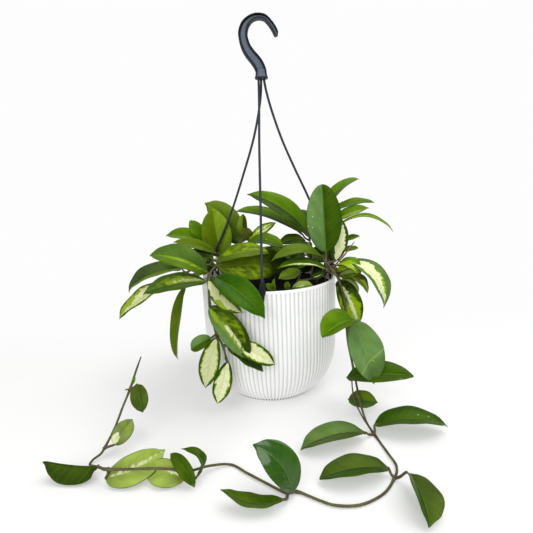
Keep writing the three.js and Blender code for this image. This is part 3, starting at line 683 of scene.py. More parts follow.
def clipSolids(clip):
    # A block over the rim with an outer and an inner tongue, and ribs on its outer face
    slot, outer, top = clip["slot"], clip["slot"] + clip["plate"], clip["top"]
    block, shoulder, roof, end = clip["block"], clip["shoulder"], clip["roof"], clip["tongueEnd"]
    long, short = clip["outerTongue"], clip["innerTongue"]
    side = [(-outer, top), (-outer, block), (-outer, shoulder), (-slot - end, -short), (-slot, -short),
            (-slot, roof), (slot, roof), (slot, -long), (slot + end, -long), (outer, shoulder),
            (outer, block), (outer, top)]

    def halfWidth(z):
        if z > block:
            return clip["width"] * (0.5 - clip["upperTaper"] * (z - block) / (top - block))
        return clip["width"] * (0.5 - clip["lowerTaper"] * max(0, -z) / long)

    store, count = {"points": [], "faces": []}, len(side)
    faces = [(i, (i + 1) % count, count + (i + 1) % count, count + i) for i in range(count)]
    faces += [tuple(range(count - 1, -1, -1)), tuple(range(count, 2 * count))]
    addSolid(store, [Vector((x, way * halfWidth(z), z)) for way in (-1, 1) for x, z in side], faces)
    for middle in clip["ribs"]:
        corners = [Vector((x, y, z)) for x in (outer - clip["ribIn"], outer + clip["ribOut"])
                   for y in (middle - clip["ribHalf"], middle + clip["ribHalf"])
                   for z in (clip["ribFoot"], top - clip["ribTop"])]
        box = [(0, 1, 3, 2), (4, 6, 7, 5), (0, 4, 5, 1), (2, 3, 7, 6), (0, 2, 6, 4), (1, 5, 7, 3)]
        addSolid(store, corners, box)
    return store


def makeArm(name, size, arm, tree, material):
    turn, clipSize = math.radians(arm["turn"]), size["clip"]
    wallMiddle = potSize["rimRadius"] - potSize["wall"] / 2
    place = Matrix.Translation((wallMiddle * math.cos(turn), wallMiddle * math.sin(turn), potSize["height"]))
    place @= Matrix.Rotation(turn, 4, "Z")
    store = clipSolids(clipSize)
    clip = newObject("clip", [place @ point for point in store["points"]], store["faces"])
    bevel = clip.modifiers.new("softEdges", "BEVEL")
    bevel.width, bevel.segments = clipSize["bevel"] * mm, clipSize["bevelSegments"]
    keepResult(clip)
    smooth(clip)
    clip.data.set_sharp_from_angle(angle=math.radians(clipSize["sharpAngle"]))
    clip.data.materials.append(material)
    foot = place @ Vector((0, 0, clipSize["top"] - clipSize["sunk"]))
    hubFoot = hookSize["line"][0][1]
    path = [(*arm["start"], hubFoot + size["socket"] - size["socketPlay"]),
            (*arm["start"], hubFoot - size["socketDrop"]), *arm["bend"],
            foot + Vector((0, 0, size["upright"])), foot]
    rows = [(point, size["radius"], 0) for point in splinePoints(path, size["steps"])]
    rows[-1] = (rows[-1][0], size["radius"] * size["footSwell"], 0)
    rod = skinPaths("arm" + name.capitalize(), [rows], tree, size["skin"])
    with bpy.context.temp_override(active_object=rod, selected_editable_objects=[rod, clip]):
        bpy.ops.object.join()
    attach(rod, "root")
    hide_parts("hanger_arm_" + name)


slatePlastic = cloudyFinish("slatePlastic", hangerLook, hangerTint("slate"))
rodTree = skinTree("armRod", cloudyFinish("rodPlastic", hangerLook, hangerTint("rod")), skinShape, False)
makeHook(hookSize, slatePlastic)
for armName, armRow in armSize["arms"].items():
    makeArm(armName, armSize, armRow, rodTree, slatePlastic)
print("hanger ready")

# Leaves: every blade follows one outline, and each has its own place, tone and painted zones.
# "across" holds the blade's columns from edge to edge, in shares of its half width
leafShape = {
    "stations": 28, "middle": 0.62, "edge": 0.3, "groove": 0.3, "grooveWidth": 0.07, "rib": 0.75,
    "ribWidth": 0.08, "bulge": 0.07, "wave": 0.5, "waves": (2.3, 0.6, 2.1), "phase": 1.7,
    "ends": (0.12, 0.08), "thinEnds": 0.45, "widest": 0.95, "roundness": 0.56, "fullRoundness": 0.08,
    "taper": 0.22, "taperFrom": 0.7, "drawnTip": 0.5, "drawnFrom": 0.86, "drawnTo": 0.98, "hook": 2.5,
    "hookFrom": 0.9, "fold": 18, "foldFrom": 0.1, "arch": 0.1, "neck": 1.05, "leastHalf": 0.25,
    "valley": (0.006, 0.077), "thinning": 0.7, "sideShift": 2, "mapUnit": 10, "mapStep": 5.3, "mapSide": 2.1,
    "veinSlant": 0.8, "plainRim": 0.25,
    "across": [-0.97, -0.88, -0.74, -0.56, -0.36, -0.18, -0.06, 0, 0.06, 0.18, 0.36, 0.56, 0.74, 0.88, 0.97],
}
leafTones = {
    "deep": "#264602", "green": "#385303", "bright": "#507003", "olive": "#54680a", "grey": "#456424",
    # sheen is a painted sheen: a lighter bluish green for blade halves that catch a glossy reflection
    "dark": "#203204", "sheen": "#66894f", "lime": "#8ea80c", "pale": "#9db252", "brown": "#45401a",
    "soft": "#53690f", "fresh": "#567d0c", "straw": "#667e22", "night": "#33442a", "dusty": "#7c8a50",
    # shade and black are painted shade: near-black tones for leaves deep in the crown, standing for the shade
    # there
    "moss": "#3e4f1a", "black": "#0b0f04", "shade": "#131f05", "fern": "#57743c", "moor": "#62790b",
    "reed": "#7e9c22", "ink": "#1a3002", "leafy": "#235200",
}
leafLook = {
    "cream": "#e6eac2", "creamShade": "#c3cc8a", "creamDull": "#a3a765", "lime": "#93b010",
    "limeDull": "#87993f", "mottled": "#809c0e", "under": "#5c6e12", "midrib": "#7f9c3c", "fleck": "#dfe8d8",
    "margin": "#24420a", "blotch": "#1d3403", "haze": "#5f860a", "crease": "#9aa84a", "gloom": "#050a01",
    "tinted": "#d8ff60", "glossy": "#ffffff",
    "streaks": (0.45, 1.5, 1), "ragNoise": (1.6, 5.0, 0.62), "blotchNoise": (0.9, 2.0),
    "marbleNoise": (1.05, 3.0), "cloudNoise": (55.0, 4.0), "grainNoise": (900.0, 3.0),
    "ripples": {"Scale": 0.42, "Distortion": 3.0, "Detail": 2.0}, "lumps": 0.6, "creamPush": 0.8,
    "limePush": 0.55, "creamEdge": (-0.02, 0.03), "limeEdge": (-0.05, 0.08, 0.0, 0.85),
    "mottleEdge": (0.0, 0.15), "marbled": (0.46, 0.6, 0.0, 0.7), "creamShaded": (0.4, 0.66, 0.0, 0.7),
    "blotched": (0.3, 0.7, 0.0, 0.35), "hazy": (0.45, 0.75, 0.0, 0.16), "darkFoot": (0.0, 0.45, 0.4, 0.0),
    "rippled": (0.86, 1.0, 0.0, 0.05), "midribEdge": (0.012, 0.04, 0.26, 0.0),
    "marginEdge": (0.92, 0.98, 0.0, 0.8), "creaseFrom": 0.01, "creaseSlant": 0.13,
    "creaseEdge": (0.003, 0.011, 0.75, 0.0),
    "beyondCrease": (0.0, 0.12, 0.0, 0.4), "dimmed": (0.5, 0.72), "underShare": 0.45, "fleckScale": 1.35,
    "fleckShare": 0.52, "fleckSize": 0.085, "relief": (0.14, 0.8, 0.015), "reliefStrength": 0.16,
    "reliefDistance": 0.0009, "roughness": (0.3, 0.46), "underRoughness": 0.18, "glossSmoothness": 0.2,
    "specular": (0.0, 1.0, 0.26, 0.6),
}


def leafFinish(look):
    material, put, shader = newFinish("waxyLeaf")
    hue = palette(look)

    def read(name):
        return attribute(put, name)

    veins, place = put("ShaderNodeUVMap", uv_map="veinMap"), put("ShaderNodeTexCoord")["Object"]
    rag = noise(put, put("ShaderNodeMapping", {"Vector": veins, "Scale": look["streaks"]}), *look["ragNoise"])
    blotch, marbling = noise(put, veins, *look["blotchNoise"]), noise(put, veins, *look["marbleNoise"])
    cloud, grain = noise(put, place, *look["cloudNoise"]), noise(put, place, *look["grainNoise"])
    ripple = put("ShaderNodeTexWave", {"Vector": veins, **look["ripples"]}, bands_direction="Y")["Fac"]
    along, signed, faded, gloss = read("along"), read("across"), read("faded"), read("gloss")
    across = abs(signed)

    # Ragged edges: each painted zone's own field, pushed about by noise that follows the side veins
    push = (rag - 0.5) + (blotch - 0.5) * look["lumps"]
    creamZone = (read("creamZone") + push * look["creamPush"]).ranged(*look["creamEdge"])
    limeZone = (read("limeZone") + push * look["limePush"]).ranged(*look["limeEdge"])
    marbled = read("mottleZone").ranged(*look["mottleEdge"]) * marbling.ranged(*look["marbled"])
    creamy = rag.ranged(*look["creamShaded"]).between(hue["cream"], hue["creamShade"])

    # A dry crease across a blade has a darker end beyond it
    beyond = along - (read("crease") + signed * look["creaseSlant"])
    creased = read("crease").calc("GREATER_THAN", look["creaseFrom"])
    # Painted shade: a dim blade turns near black towards its tip, where it lies in deep shade, and loses its
    # shine there
    dimmed = read("dim") * along.ranged(*look["dimmed"])
    cells = put("ShaderNodeTexVoronoi", {"Vector": veins, "Scale": look["fleckScale"]})
    chosen = put("ShaderNodeSeparateColor", {0: cells["Color"]}).calc("GREATER_THAN", look["fleckShare"])
    dot = cells["Distance"].calc("LESS_THAN", look["fleckSize"]) * chosen

    # Layers of colour over the leaf's own tone, each with its share
    colour = read("leafTone")["Color"]
    for share, layer in [
        (blotch.ranged(*look["blotched"]), hue["blotch"]),
        (cloud.ranged(*look["hazy"]), hue["haze"]),
        # Painted shade: darker towards the petiole, where the crown shades the blade's foot
        (along.ranged(*look["darkFoot"]), hue["blotch"]),
        (marbled, hue["mottled"]),
        (limeZone, faded.between(hue["lime"], hue["limeDull"])),
        (creamZone, faded.between(creamy, hue["creamDull"])),
        (ripple.ranged(*look["rippled"]), hue["midrib"]),
        (across.ranged(*look["midribEdge"]), hue["midrib"]),
        (across.ranged(*look["marginEdge"]) * read("rim"), hue["margin"]),
        (creased * beyond.ranged(*look["beyondCrease"]), hue["blotch"]),
        (creased * abs(beyond).ranged(*look["creaseEdge"]), hue["crease"]),
        (dimmed, hue["gloom"]),
        (read("under") * look["underShare"], hue["under"]),
        (dot * read("flecks"), hue["fleck"]),
    ]:
        colour = share.between(colour, layer)
    height = ripple * look["relief"][0] + cloud * look["relief"][1] + grain * look["relief"][2]
    bump = {"Height": height, "Strength": look["reliefStrength"], "Distance": look["reliefDistance"]}
    rough = cloud.ranged(*cloudSpan, *look["roughness"]) + read("under") * look["underRoughness"]
    fill(shader, {
        "Base Color": colour, "Roughness": rough - gloss * look["glossSmoothness"],
        "Normal": put("ShaderNodeBump", bump),
        "Specular IOR Level": gloss.ranged(*look["specular"]) * (1.0 - dimmed),
        "Specular Tint": gloss.between(hue["tinted"], hue["glossy"]),
    })
    return material


# Painted zones: middle of each patch across the blade, its half width, and where it starts and ends.
# Across is from -1 to 1 and along from 0 at the petiole to 1 at the tip
zones = {
    "heart": {"cream": [(0, 0.7, -0.05, 1.04)], "lime": [(0, 0.8, -0.05, 1.04)]},
    "limeHeart": {
        "cream": [(-0.25, 0.5, -0.05, 0.95), (0.3, 0.4, 0.05, 0.6)], "lime": [(0, 0.86, -0.1, 1.1)],
    },
    "creamHalfPlus": {
        "cream": [(0.44, 0.44, -0.1, 0.52), (0.3, 0.3, 0.4, 1.1)], "lime": [(0.5, 0.5, 0.3, 0.8)],
    },
    "creamStrip": {"cream": [(0.18, 0.5, -0.2, 1.02)]},
    "limeBelow": {"lime": [(-0.2, 0.13, 0.02, 0.92), (-0.28, 0.18, 0.04, 0.5)]},
    "paleAbove": {
        "cream": [(0.2, 0.1, 0.05, 0.55)], "lime": [(0.22, 0.26, 0.0, 0.66)],
        "mottle": [(0.3, 0.4, 0.1, 0.8)],
    },
    "streaks": {"lime": [(-0.2, 0.1, 0.45, 1.0)], "mottle": [(-0.35, 0.6, 0.1, 1)]},
    "paleLower": {"lime": [(0.3, 0.1, 0.04, 0.45)], "mottle": [(0.45, 0.52, 0.0, 0.9)]},
    "flames": {
        "cream": [(0.13, 0.13, 0.28, 0.66), (0.07, 0.06, 0.5, 0.86)],
        "lime": [(0.34, 0.22, -0.1, 0.45), (0.2, 0.2, 0.25, 0.85)],
        "mottle": [(-0.38, 0.46, -0.05, 0.82)],
    },
    "limeWide": {"lime": [(0.35, 0.7, -0.1, 1.1)], "cream": [(0.2, 0.14, 0.45, 1.0)]},
    "cornerPale": {"lime": [(0.2, 0.5, -0.1, 0.5)], "cream": [(0.1, 0.4, -0.1, 0.45)]},
    "cornerCream": {"cream": [(-0.36, 0.5, -0.2, 0.4)], "mottle": [(0, 0.8, 0.1, 0.9)]},
    "limeTip": {"lime": [(0, 0.6, 0.55, 1.3)]},
    "stripes": {"lime": [(0, 0.7, 0.0, 1.05)], "cream": [(0.2, 0.2, 0.15, 0.95), (-0.3, 0.12, 0.2, 0.9)]},
    "creamEdge": {"cream": [(-0.62, 0.22, 0.12, 0.82)], "lime": [(-0.5, 0.32, 0.05, 0.95)]},
    "edgePlus": {"lime": [(0.5, 0.36, 0.02, 0.8)]},
    "edgeLime": {"lime": [(0.4, 0.45, -0.1, 1.1)]},
    "bigHeart": {
        "cream": [(0.2, 0.48, -0.05, 0.98), (0.0, 0.5, 0.02, 0.5)], "lime": [(0.16, 0.6, -0.05, 1.0)],
    },
    "creamRib": {
        "cream": [(-0.14, 0.14, -0.1, 1.0)],
        "lime": [(-0.38, 0.36, 0.3, 1.05), (0.28, 0.3, 0.35, 1.05), (0.72, 0.12, 0.1, 0.6)],
    },
    "paleAll": {"cream": [(-0.12, 0.1, 0.0, 0.96)]},
    "faintCorner": {"cream": [(0.2, 0.12, 0.0, 0.5)]},
    "faintStreak": {"cream": [(0.08, 0.12, 0.1, 0.75)]},
}
zoneShape = {"roundness": 0.55, "swell": 1.02, "margin": 0.93, "outside": -0.5}


def zoneField(patches, across, along, shape):
    # Positive inside a patch, negative outside, in shares of the half width
    best = -2.0
    for middle, half, start, end in patches:
        share = (along - start) / (end - start)
        if 0 < share < 1:
            width = half * min(1, math.sin(math.pi * share) ** shape["roundness"] * shape["swell"])
            best = max(best, min(width - abs(across - middle), shape["margin"] - abs(across)))
        else:
            best = max(best, shape["outside"] - min(abs(share), abs(share - 1)))
    return best


def bladeOutline(at, shape, full, late):
    # A full blade has a blunt end, any other narrows to a small drawn tip; a late one is widest near it
    taper = 1 - (1 - full) * shape["taper"] * max(0, at - shape["taperFrom"]) / (1 - shape["taperFrom"])
    swell = max(0.0, math.sin(math.pi * at ** (shape["widest"] + late)))
    blade = swell ** (shape["roundness"] - shape["fullRoundness"] * full)
    drawn = min(1, max(0, (at - shape["drawnFrom"]) / (shape["drawnTo"] - shape["drawnFrom"])))
    return blade * taper * (1 - shape["drawnTip"] * (1 - max(0, full)) * drawn * drawn * (3 - 2 * drawn))


def midrib(leaf, at):
    # Place, side and upper face of the blade's midrib at one station
    base = Vector(leaf["base"])
    chord = Vector(leaf["tip"]) - base
    length, along, face = chord.length, chord.normalized(), Vector(leaf["face"])
    face = (face - along * face.dot(along)).normalized()
    side = along.cross(face)
    arch, curl, bend = leaf.get("arch", leafShape["arch"]), leaf.get("curl", 0), leaf.get("bend", 0)
    lift = length * (4 * arch * at * (1 - at) + curl * (at - at ** 3))
    place = base + chord * at + face * lift + side * (length * 4 * bend * at * (1 - at))
    rise = 4 * arch * (1 - 2 * at) + curl * (1 - 3 * at ** 2)
    tangent = (along + face * rise + side * (4 * bend * (1 - 2 * at))).normalized()
    face = (face - tangent * face.dot(tangent)).normalized()
    face = Matrix.Rotation(math.radians(leaf.get("twist", 0) * at), 3, tangent) @ face
    return place, tangent.cross(face), face


def addBlade(leaf, number, shape, store):
    # Rings from petiole to tip: the upper face, one rim, the lower face and the other rim
    fold = math.radians(leaf.get("fold", shape["fold"]))
    length = (Vector(leaf["tip"]) - Vector(leaf["base"])).length
    full, late = leaf.get("full", 0), leaf.get("late", 0)
    waves, spread, pace = shape["waves"]
    waves += spread * math.sin(number * pace)
    ripple = shape["wave"] * leaf.get("wave", 1)
    columns = [(u, 1) for u in shape["across"]] + [(1, 0)]
    columns += [(u, -1) for u in reversed(shape["across"])] + [(-1, 0)]
    rings, marks = [], []
    for i in range(shape["stations"] + 1):
        at = 0.5 - 0.5 * math.cos(math.pi * i / shape["stations"])
        place, side, face = midrib(leaf, at)
        hook = length * shape["hook"] * leaf.get("hook", 1) * (1 - max(0, full))
        place -= face * (hook * max(0, at - shape["hookFrom"]) ** 2)
        neck = shape["neck"] * (1 - 6 * at)
        half = max(leaf["width"] / 2 * bladeOutline(at, shape, full, late), neck, shape["leastHalf"])
        ends = min(1, at / shape["ends"][0]) * min(1, (1 - at) / shape["ends"][1])
        thin = shape["thinEnds"] + (1 - shape["thinEnds"]) * ends
        tilt = fold * min(1, at / shape["foldFrom"])
        turn = 2 * math.pi * waves * at + number * shape["phase"]

        def corner(u, above):
            reach, (soft, depth) = abs(u), shape["valley"]
            raised = half * math.sin(tilt) * (math.sqrt(reach * reach + soft) - depth)
            raised += half * shape["bulge"] * 4 * reach * (1 - reach)
            raised += ripple * ends * reach ** 3 * math.sin(turn + (shape["sideShift"] if u < 0 else 0))
            thick = shape["edge"] + (shape["middle"] - shape["edge"]) * (1 - reach) ** shape["thinning"]
            if above > 0:
                thick -= shape["groove"] * math.exp(-(u / shape["grooveWidth"]) ** 2) * ends
            if above < 0:
                thick += shape["rib"] * (1 - at) * math.exp(-(u / shape["ribWidth"]) ** 2) * ends
            return place + side * (half * u * math.cos(tilt)) + face * (raised + above * thick * thin)

        rings.append([corner(u, above) for u, above in columns])
        marks += [(u, 1 if above < 0 or u == -1 else 0, at, half) for u, above in columns]
    addSolid(store, *skinRings(rings))
    # A blade may take one tone for each half: partly its own colour, partly painted light where one half is
    # painted with a sheen or with shade
    tones = leaf["tone"] if isinstance(leaf["tone"], tuple) else (leaf["tone"], leaf["tone"])
    plusTone, minusTone = [paint(leafTones[tone]) for tone in tones]
    zone = zones.get(leaf.get("zone"), {})
    own = {"rim": leaf.get("rim", 1 if zone else shape["plainRim"])}
    own |= {key: leaf.get(key, 0) for key in ("flecks", "faded", "crease", "gloss", "dim")}
    for u, lower, at, half in [*marks, (0, 0, 0, 1), (0, 0, 1, 1)]:
        row = {**own, "across": u, "along": at, "under": lower}
        for kind in ("cream", "lime", "mottle"):
            row[kind + "Zone"] = zoneField(zone.get(kind, []), u, at, zoneShape)
        for key, value in row.items():
            store["marks"].setdefault(key, []).append(value)
        store["tone"] += minusTone if u < 0 else plusTone
        seed, out = number * shape["mapStep"] + (shape["mapSide"] if u < 0 else 0), abs(u) * half
        spot = (out, at * length - out * shape["veinSlant"])
        store["map"].append([value / shape["mapUnit"] + seed for value in spot])


def makeLeaves(name, node, leaves, shape, material, firstNumber):
    store = {"points": [], "faces": [], "tone": [], "map": [], "marks": {}}
    for i, leaf in enumerate(leaves):
        addBlade(leaf, firstNumber + i, shape, store)
    made = newObject(name, store["points"], store["faces"])
    for key, values in store["marks"].items():
        fillAttribute(made, key, values)
    fillAttribute(made, "leafTone", store["tone"], "FLOAT_COLOR", "color")
    corners = [value for loop in made.data.loops for value in store["map"][loop.vertex_index]]
    made.data.uv_layers.new(name="veinMap").data.foreach_set("uv", corners)
    smooth(made)
    made.data.materials.append(material)
    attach(made, "root")
    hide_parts(node)


# Stems: woody vine stems with swollen joints, and short thick petioles
stemSize = {
    "radius": 1.25, "joint": 1.8, "jointLength": 0.22, "rootDepth": 21.7, "steps": 6, "thinEnd": 0.55,
    "endSteps": 5, "petiole": 1.15, "petioleFoot": 1.6, "petioleSteps": 4, "petioleSag": 0.12,
    "petioleEnd": 0.35, "petioleEndFrom": 0.75, "petioleAhead": 0.04, "twig": 0.9, "dryTwig": 1.035,
    "layUnder": 20, "layFlat": 1.04, "layClear": 0.12, "petioleUnder": 12, "petioleClear": 0.15,
    "scarFloor": 10, "scarNear": 0.01, "bark": {"Sides": 10, "Bark depth": 0.0005, "Bark scale": 260.0},
    "dryBark": {"Sides": 10, "Bark depth": 0.0007, "Bark scale": 420.0},
}
stemLook = {
    "bark": "#40341e", "young": "#585a26", "dry": "#8a5a40", "dryShade": "#6b4630", "pit": "#2f2a1c",
    "clouded": (0.38, 0.66), "pitted": (0.5, 0.8, 0.0, 0.5), "cloudNoise": (70.0, 4.0, 0.65),
    "grainNoise": (800.0, 3.0), "roughness": (0.45, 0.67), "specular": 0.5,
    "relief": {"cloud": 1.0, "grain": 0.4, "strength": 0.6, "distance": 0.0006},
}


def barkTint(main, second):
    def tinted(put, place, cloud, grain):
        hue = palette(stemLook)
        tint = cloud.ranged(*stemLook["clouded"]).between(hue[main], hue[second])
        return grain.ranged(*stemLook["pitted"]).between(tint, hue["pit"])
    return tinted


def stemRows(points, size, joints, radius):
    # The stem's path with its thickness: swollen at the joints where leaves stand, and above the surface
    steps, rows = size["steps"], []
    path = splinePoints(points, steps)
    for i, place in enumerate(path):
        near = min((abs(i / steps - joint) for joint in joints), default=math.inf)
        swell = (size["joint"] - size["radius"]) * math.exp(-(near / size["jointLength"]) ** 2)
        end = min(1, (len(path) - 1 - i) / size["endSteps"])
        thick = (radius + swell) * (size["thinEnd"] + (1 - size["thinEnd"]) * end)
        if place.z < size["layUnder"]:
            place.z = max(place.z, thick * size["layFlat"] + size["layClear"])
        scar = near < size["scarNear"] and place.z > size["scarFloor"]
        rows.append((place, thick, 1 if scar else 0))
    return rows


def petioleRows(leaf, joint, size):
    base, face = Vector(leaf["base"]), midrib(leaf, 0)[2]
    middle = (joint + base) / 2 - face * (size["petioleSag"] * (base - joint).length)
    ahead = midrib(leaf, size["petioleAhead"])[0]
    path = splinePoints([joint, middle, base, ahead], size["petioleSteps"])
    rows = []
    for i, point in enumerate(path):
        share = i / (len(path) - 1)
        thick = size["petioleFoot"] * (1 - share) ** 2 + size["petiole"] * (1 - (1 - share) ** 2)
        late = max(0, share - size["petioleEndFrom"]) / (1 - size["petioleEndFrom"])
        thick *= 1 - size["petioleEnd"] * late
        if point.z < size["petioleUnder"]:
            point.z = max(point.z, thick + size["petioleClear"])
        rows.append((point, thick, 0))
    return rows


def makeStem(name, node, plant, size, tree):
    rooted = [(*plant["foot"], soilSize["top"] - size["rootDepth"]), (*plant["foot"], soilSize["top"])]
    joints = [Vector(point) for point in plant["joints"]]
    marked = sorted({leaf["at"] + 2 for leaf in plant["leaves"]})
    paths = [stemRows([*rooted, *joints], size, marked, size["radius"])]
    paths += [petioleRows(leaf, joints[leaf["at"]], size) for leaf in plant["leaves"]]
    if not plant.get("dryTwig"):
        paths += [stemRows(twig, size, [], size["twig"]) for twig in plant.get("twigs", [])]
    made = skinPaths(name, paths, tree, size["bark"])
    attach(made, "root")
    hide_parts(node)


def makeStalk(node, plant, size, tree):
    rows = [stemRows(twig, size, [], size["dryTwig"]) for twig in plant["twigs"]]
    stalk = skinPaths("driedFlowerStalk", rows, tree, size["dryBark"])
    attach(stalk, "root")
    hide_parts(node)


def leaf(at, base, tip, width, face, tone, zone=None, **more):
    placed = {"at": at, "base": base, "tip": tip, "width": width, "face": face}
    return {**placed, "tone": tone, "zone": zone, **more}


# One dictionary for each vine: its foot in the soil, its joints, its leaves by joint, and any twigs.
# A leaf's row has its joint, base, tip, width, the way its upper face looks, tones and painted zone
frontLeft = {
    "foot": (-40, -40),
    "joints": [(-50, -48, 158), (-62, -58, 178), (-69, -72, 172), (-70, -82, 140), (-64, -86, 104),
               (-57, -89, 90), (-54, -90, 74), (-53, -91, 66)],
    "leaves": [
        leaf(2, (-72, -72, 175), (-137, -76, 199), 36, (0, -6, 8), ("grey", "bright"), "limeBelow",
             arch=0.15, rim=0.3),
        leaf(2, (-74, -77, 165), (-144, -92, 157), 32, (0, -5, 9), ("grey", "green"), "paleAbove",
             arch=0.07, rim=0.3, faded=0.5),
        leaf(2, (-69, -80, 168), (-31, -100, 132), 27, (-4, -9, 2), "green", "creamHalfPlus", arch=0.05,
             fold=35, faded=0.5, wave=2),
        leaf(2, (-62, -84, 171), (-5, -118, 131), 33, (2, -7, 6), "leafy", curl=0.1),
        leaf(1, (-62, -56, 184), (4, -50, 191), 26, (0, -6, 8), "olive", "streaks", arch=0.15, rim=0.3,
             faded=0.85),
        # This blade's tip is dimmed: painted shade
        leaf(1, (-60, -62, 180), (30, -54, 180), 42, (0, -8, 4), "olive", "paleLower", arch=-0.05, rim=0.3,
             faded=0.8, dim=0.9),
        leaf(3, (-70, -86, 137), (-26, -104, 77), 31, (1, -9, 3), ("sheen", "dark"), "flames", arch=0.06,
             bend=-0.05),
        leaf(4, (-64, -90, 101), (-81, -92, 37), 26, (-1, -9, 2), "deep", "heart", arch=0.04, full=-0.8,
             faded=0.4),
        leaf(6, (-52, -92, 71), (-68, -92, 16), 23, (1, -9, 2), "deep", "heart", arch=0.04, full=-0.8),
        leaf(5, (-51, -93, 91), (-10, -103, 62), 22, (3, -5, 7), "dark", "cornerPale", arch=0.06, wave=2.5,
             faded=0.5),
        leaf(5, (-44, -95, 96), (4, -98, 67), 22, (1, -8, 5), "deep", "heart", faded=0.2),
        leaf(4, (-71, -84, 98), (-96, -84, 84), 19, (0, -7, 6), ("sheen", "green"), full=0.4),
    ],
}

farLeft = {
    "foot": (-58, -8),
    "joints": [(-66, -12, 158), (-76, -24, 174), (-88, -32, 175), (-104, -36, 168), (-119, -38, 160),
               (-125, -39, 158)],
    "leaves": [
        leaf(4, (-124, -41, 158), (-189, -56, 117), 27, (-3, -6, 8), "deep", "limeHeart", arch=0.08,
             wave=2.2, faded=0.4),
        leaf(3, (-110, -33, 173), (-183, -30, 144), 30, (-2, -6, 8), ("night", "straw"), arch=0.15, fold=30),
        leaf(3, (-106, -40, 152), (-125, -40, 52), 22, (-6, -7, 1), "olive", fold=28, arch=0.05),
        leaf(2, (-92, -20, 176), (-142, 4, 170), 26, (0, -2, 9), "deep", arch=0.12),
        # Two blades in the shade tone: painted shade deep in the crown
        leaf(1, (-72, -14, 180), (-104, -2, 190), 20, (0, -5, 8), "shade"),
        leaf(0, (-66, -18, 170), (-96, -16, 164), 20, (0, -6, 7), "shade"),
    ],
}

backLeft = {
    "foot": (-40, 12),
    "joints": [(-54, 13, 164), (-59, 14, 181), (-53, 13, 188), (-42, 13, 191), (-36, 15, 197)],
    "leaves": [
        leaf(1, (-67, 34, 175), (-74, 28, 244), 43, (0, -9, 1), ("reed", "moor"), fold=10, arch=0.03,
             full=0.5, hook=0),
        leaf(1, (-83, 44, 191), (-146, 40, 208), 30, (0, -5, 8), ("bright", "fresh"), arch=0.12),
        leaf(1, (-69, -6, 187), (-123, -12, 205), 17, (0, -6, 7), "olive"),
        leaf(0, (-86, 44, 199), (-109, 40, 228), 21, (-2, -9, 3), "fresh", full=0.5),
        leaf(3, (-44, 45, 191), (-87, 45, 252), 39, (2, -9, 3), ("straw", "olive"), bend=0.1),
        leaf(4, (-32, 16, 205), (-31, 18, 236), 16, (-3, -9, 1), ("dark", "straw")),
        leaf(3, (-38, 20, 196), (-26, 72, 190), 24, (0, -5, 8), "green"),
    ],
}

centre = {
    "foot": (-6, -24),
    "joints": [(-10, -18, 160), (-20, -8, 182), (-27, -2, 195)],
    "leaves": [
        leaf(2, (-26, -8, 199), (23, -24, 192), 24, (0, -5, 8), ("green", "bright"), arch=0.17, flecks=0.5),
        leaf(2, (-25, 5, 199), (13, 12, 223), 17, (-3, -8, 5), "bright", "stripes", arch=0.04, rim=0.3),
        leaf(2, (-22, 8, 200), (-32, 10, 218), 16, (0, -9, 3), "brown"),
        leaf(1, (-10, -14, 184), (32, -8, 176), 24, (0, -5, 8), "dark", arch=0.12),
    ],
}

backCentre = {
    "foot": (60, 16),
    "joints": [(63, 22, 162), (63, 27, 182), (60, 28, 194)],
    "leaves": [
        leaf(2, (50, 27, 203), (-43, 22, 240), 30, (0, -4, 8), ("fresh", "dark"), arch=0.11),
        leaf(2, (60, 26, 200), (-25, 20, 263), 35, (3, -7, 6), ("fresh", "ink"), arch=0.15),
        leaf(1, (54, 13, 193), (14, 8, 194), 22, (0, -6, 8), "dark", arch=0.14),
        leaf(2, (62, 36, 200), (44, 84, 232), 34, (-2, -2, 9), "deep"),
        # Five blades in the shade tone: painted shade deep in the crown
        leaf(1, (52, 30, 178), (0, 20, 170), 26, (0, -7, 5), "shade"),
        leaf(0, (58, 34, 172), (90, 42, 168), 26, (0, -8, 4), "shade"),
        leaf(0, (44, 58, 150), (70, 46, 153), 18, (0, -9, 2), "shade"),
        leaf(0, (66, 42, 149), (82, 16, 152), 18, (-3, -8, 2), "shade"),
        leaf(0, (56, 16, 168), (20, 2, 158), 24, (0, -7, 6), "shade"),
    ],
}

backRight = {
    "foot": (78, 6),
    "joints": [(80, 12, 162), (82, 18, 182), (84, 20, 200), (86, 20, 214)],
    "leaves": [
        leaf(3, (82, 24, 240), (130, 30, 277), 22, (-4, -5, 8), ("grey", "fresh"), curl=0.1),
        leaf(3, (88, 20, 232), (149, 20, 244), 17, (-1, -5, 8), ("grey", "bright"), arch=0.12),
        leaf(2, (90, 12, 220), (138, 6, 238), 18, (0, -6, 7), ("straw", "fresh"), "edgePlus", rim=0.2,
             faded=0.8),
        leaf(2, (94, 2, 215), (162, -24, 209), 14, (0, -2, 9), ("lime", "fresh"), "edgeLime", arch=0.23,
             rim=0.1),
        leaf(1, (100, 10, 193), (127, 10, 200), 9, (0, -7, 6), ("straw", "green")),
        leaf(1, (98, 2, 181), (123, 0, 185), 9, (0, -7, 6), "fresh"),
        # A blade in the shade tone: painted shade deep in the crown
        leaf(0, (82, 8, 180), (88, 26, 158), 24, (1, -9, 2), "shade"),
    ],
}

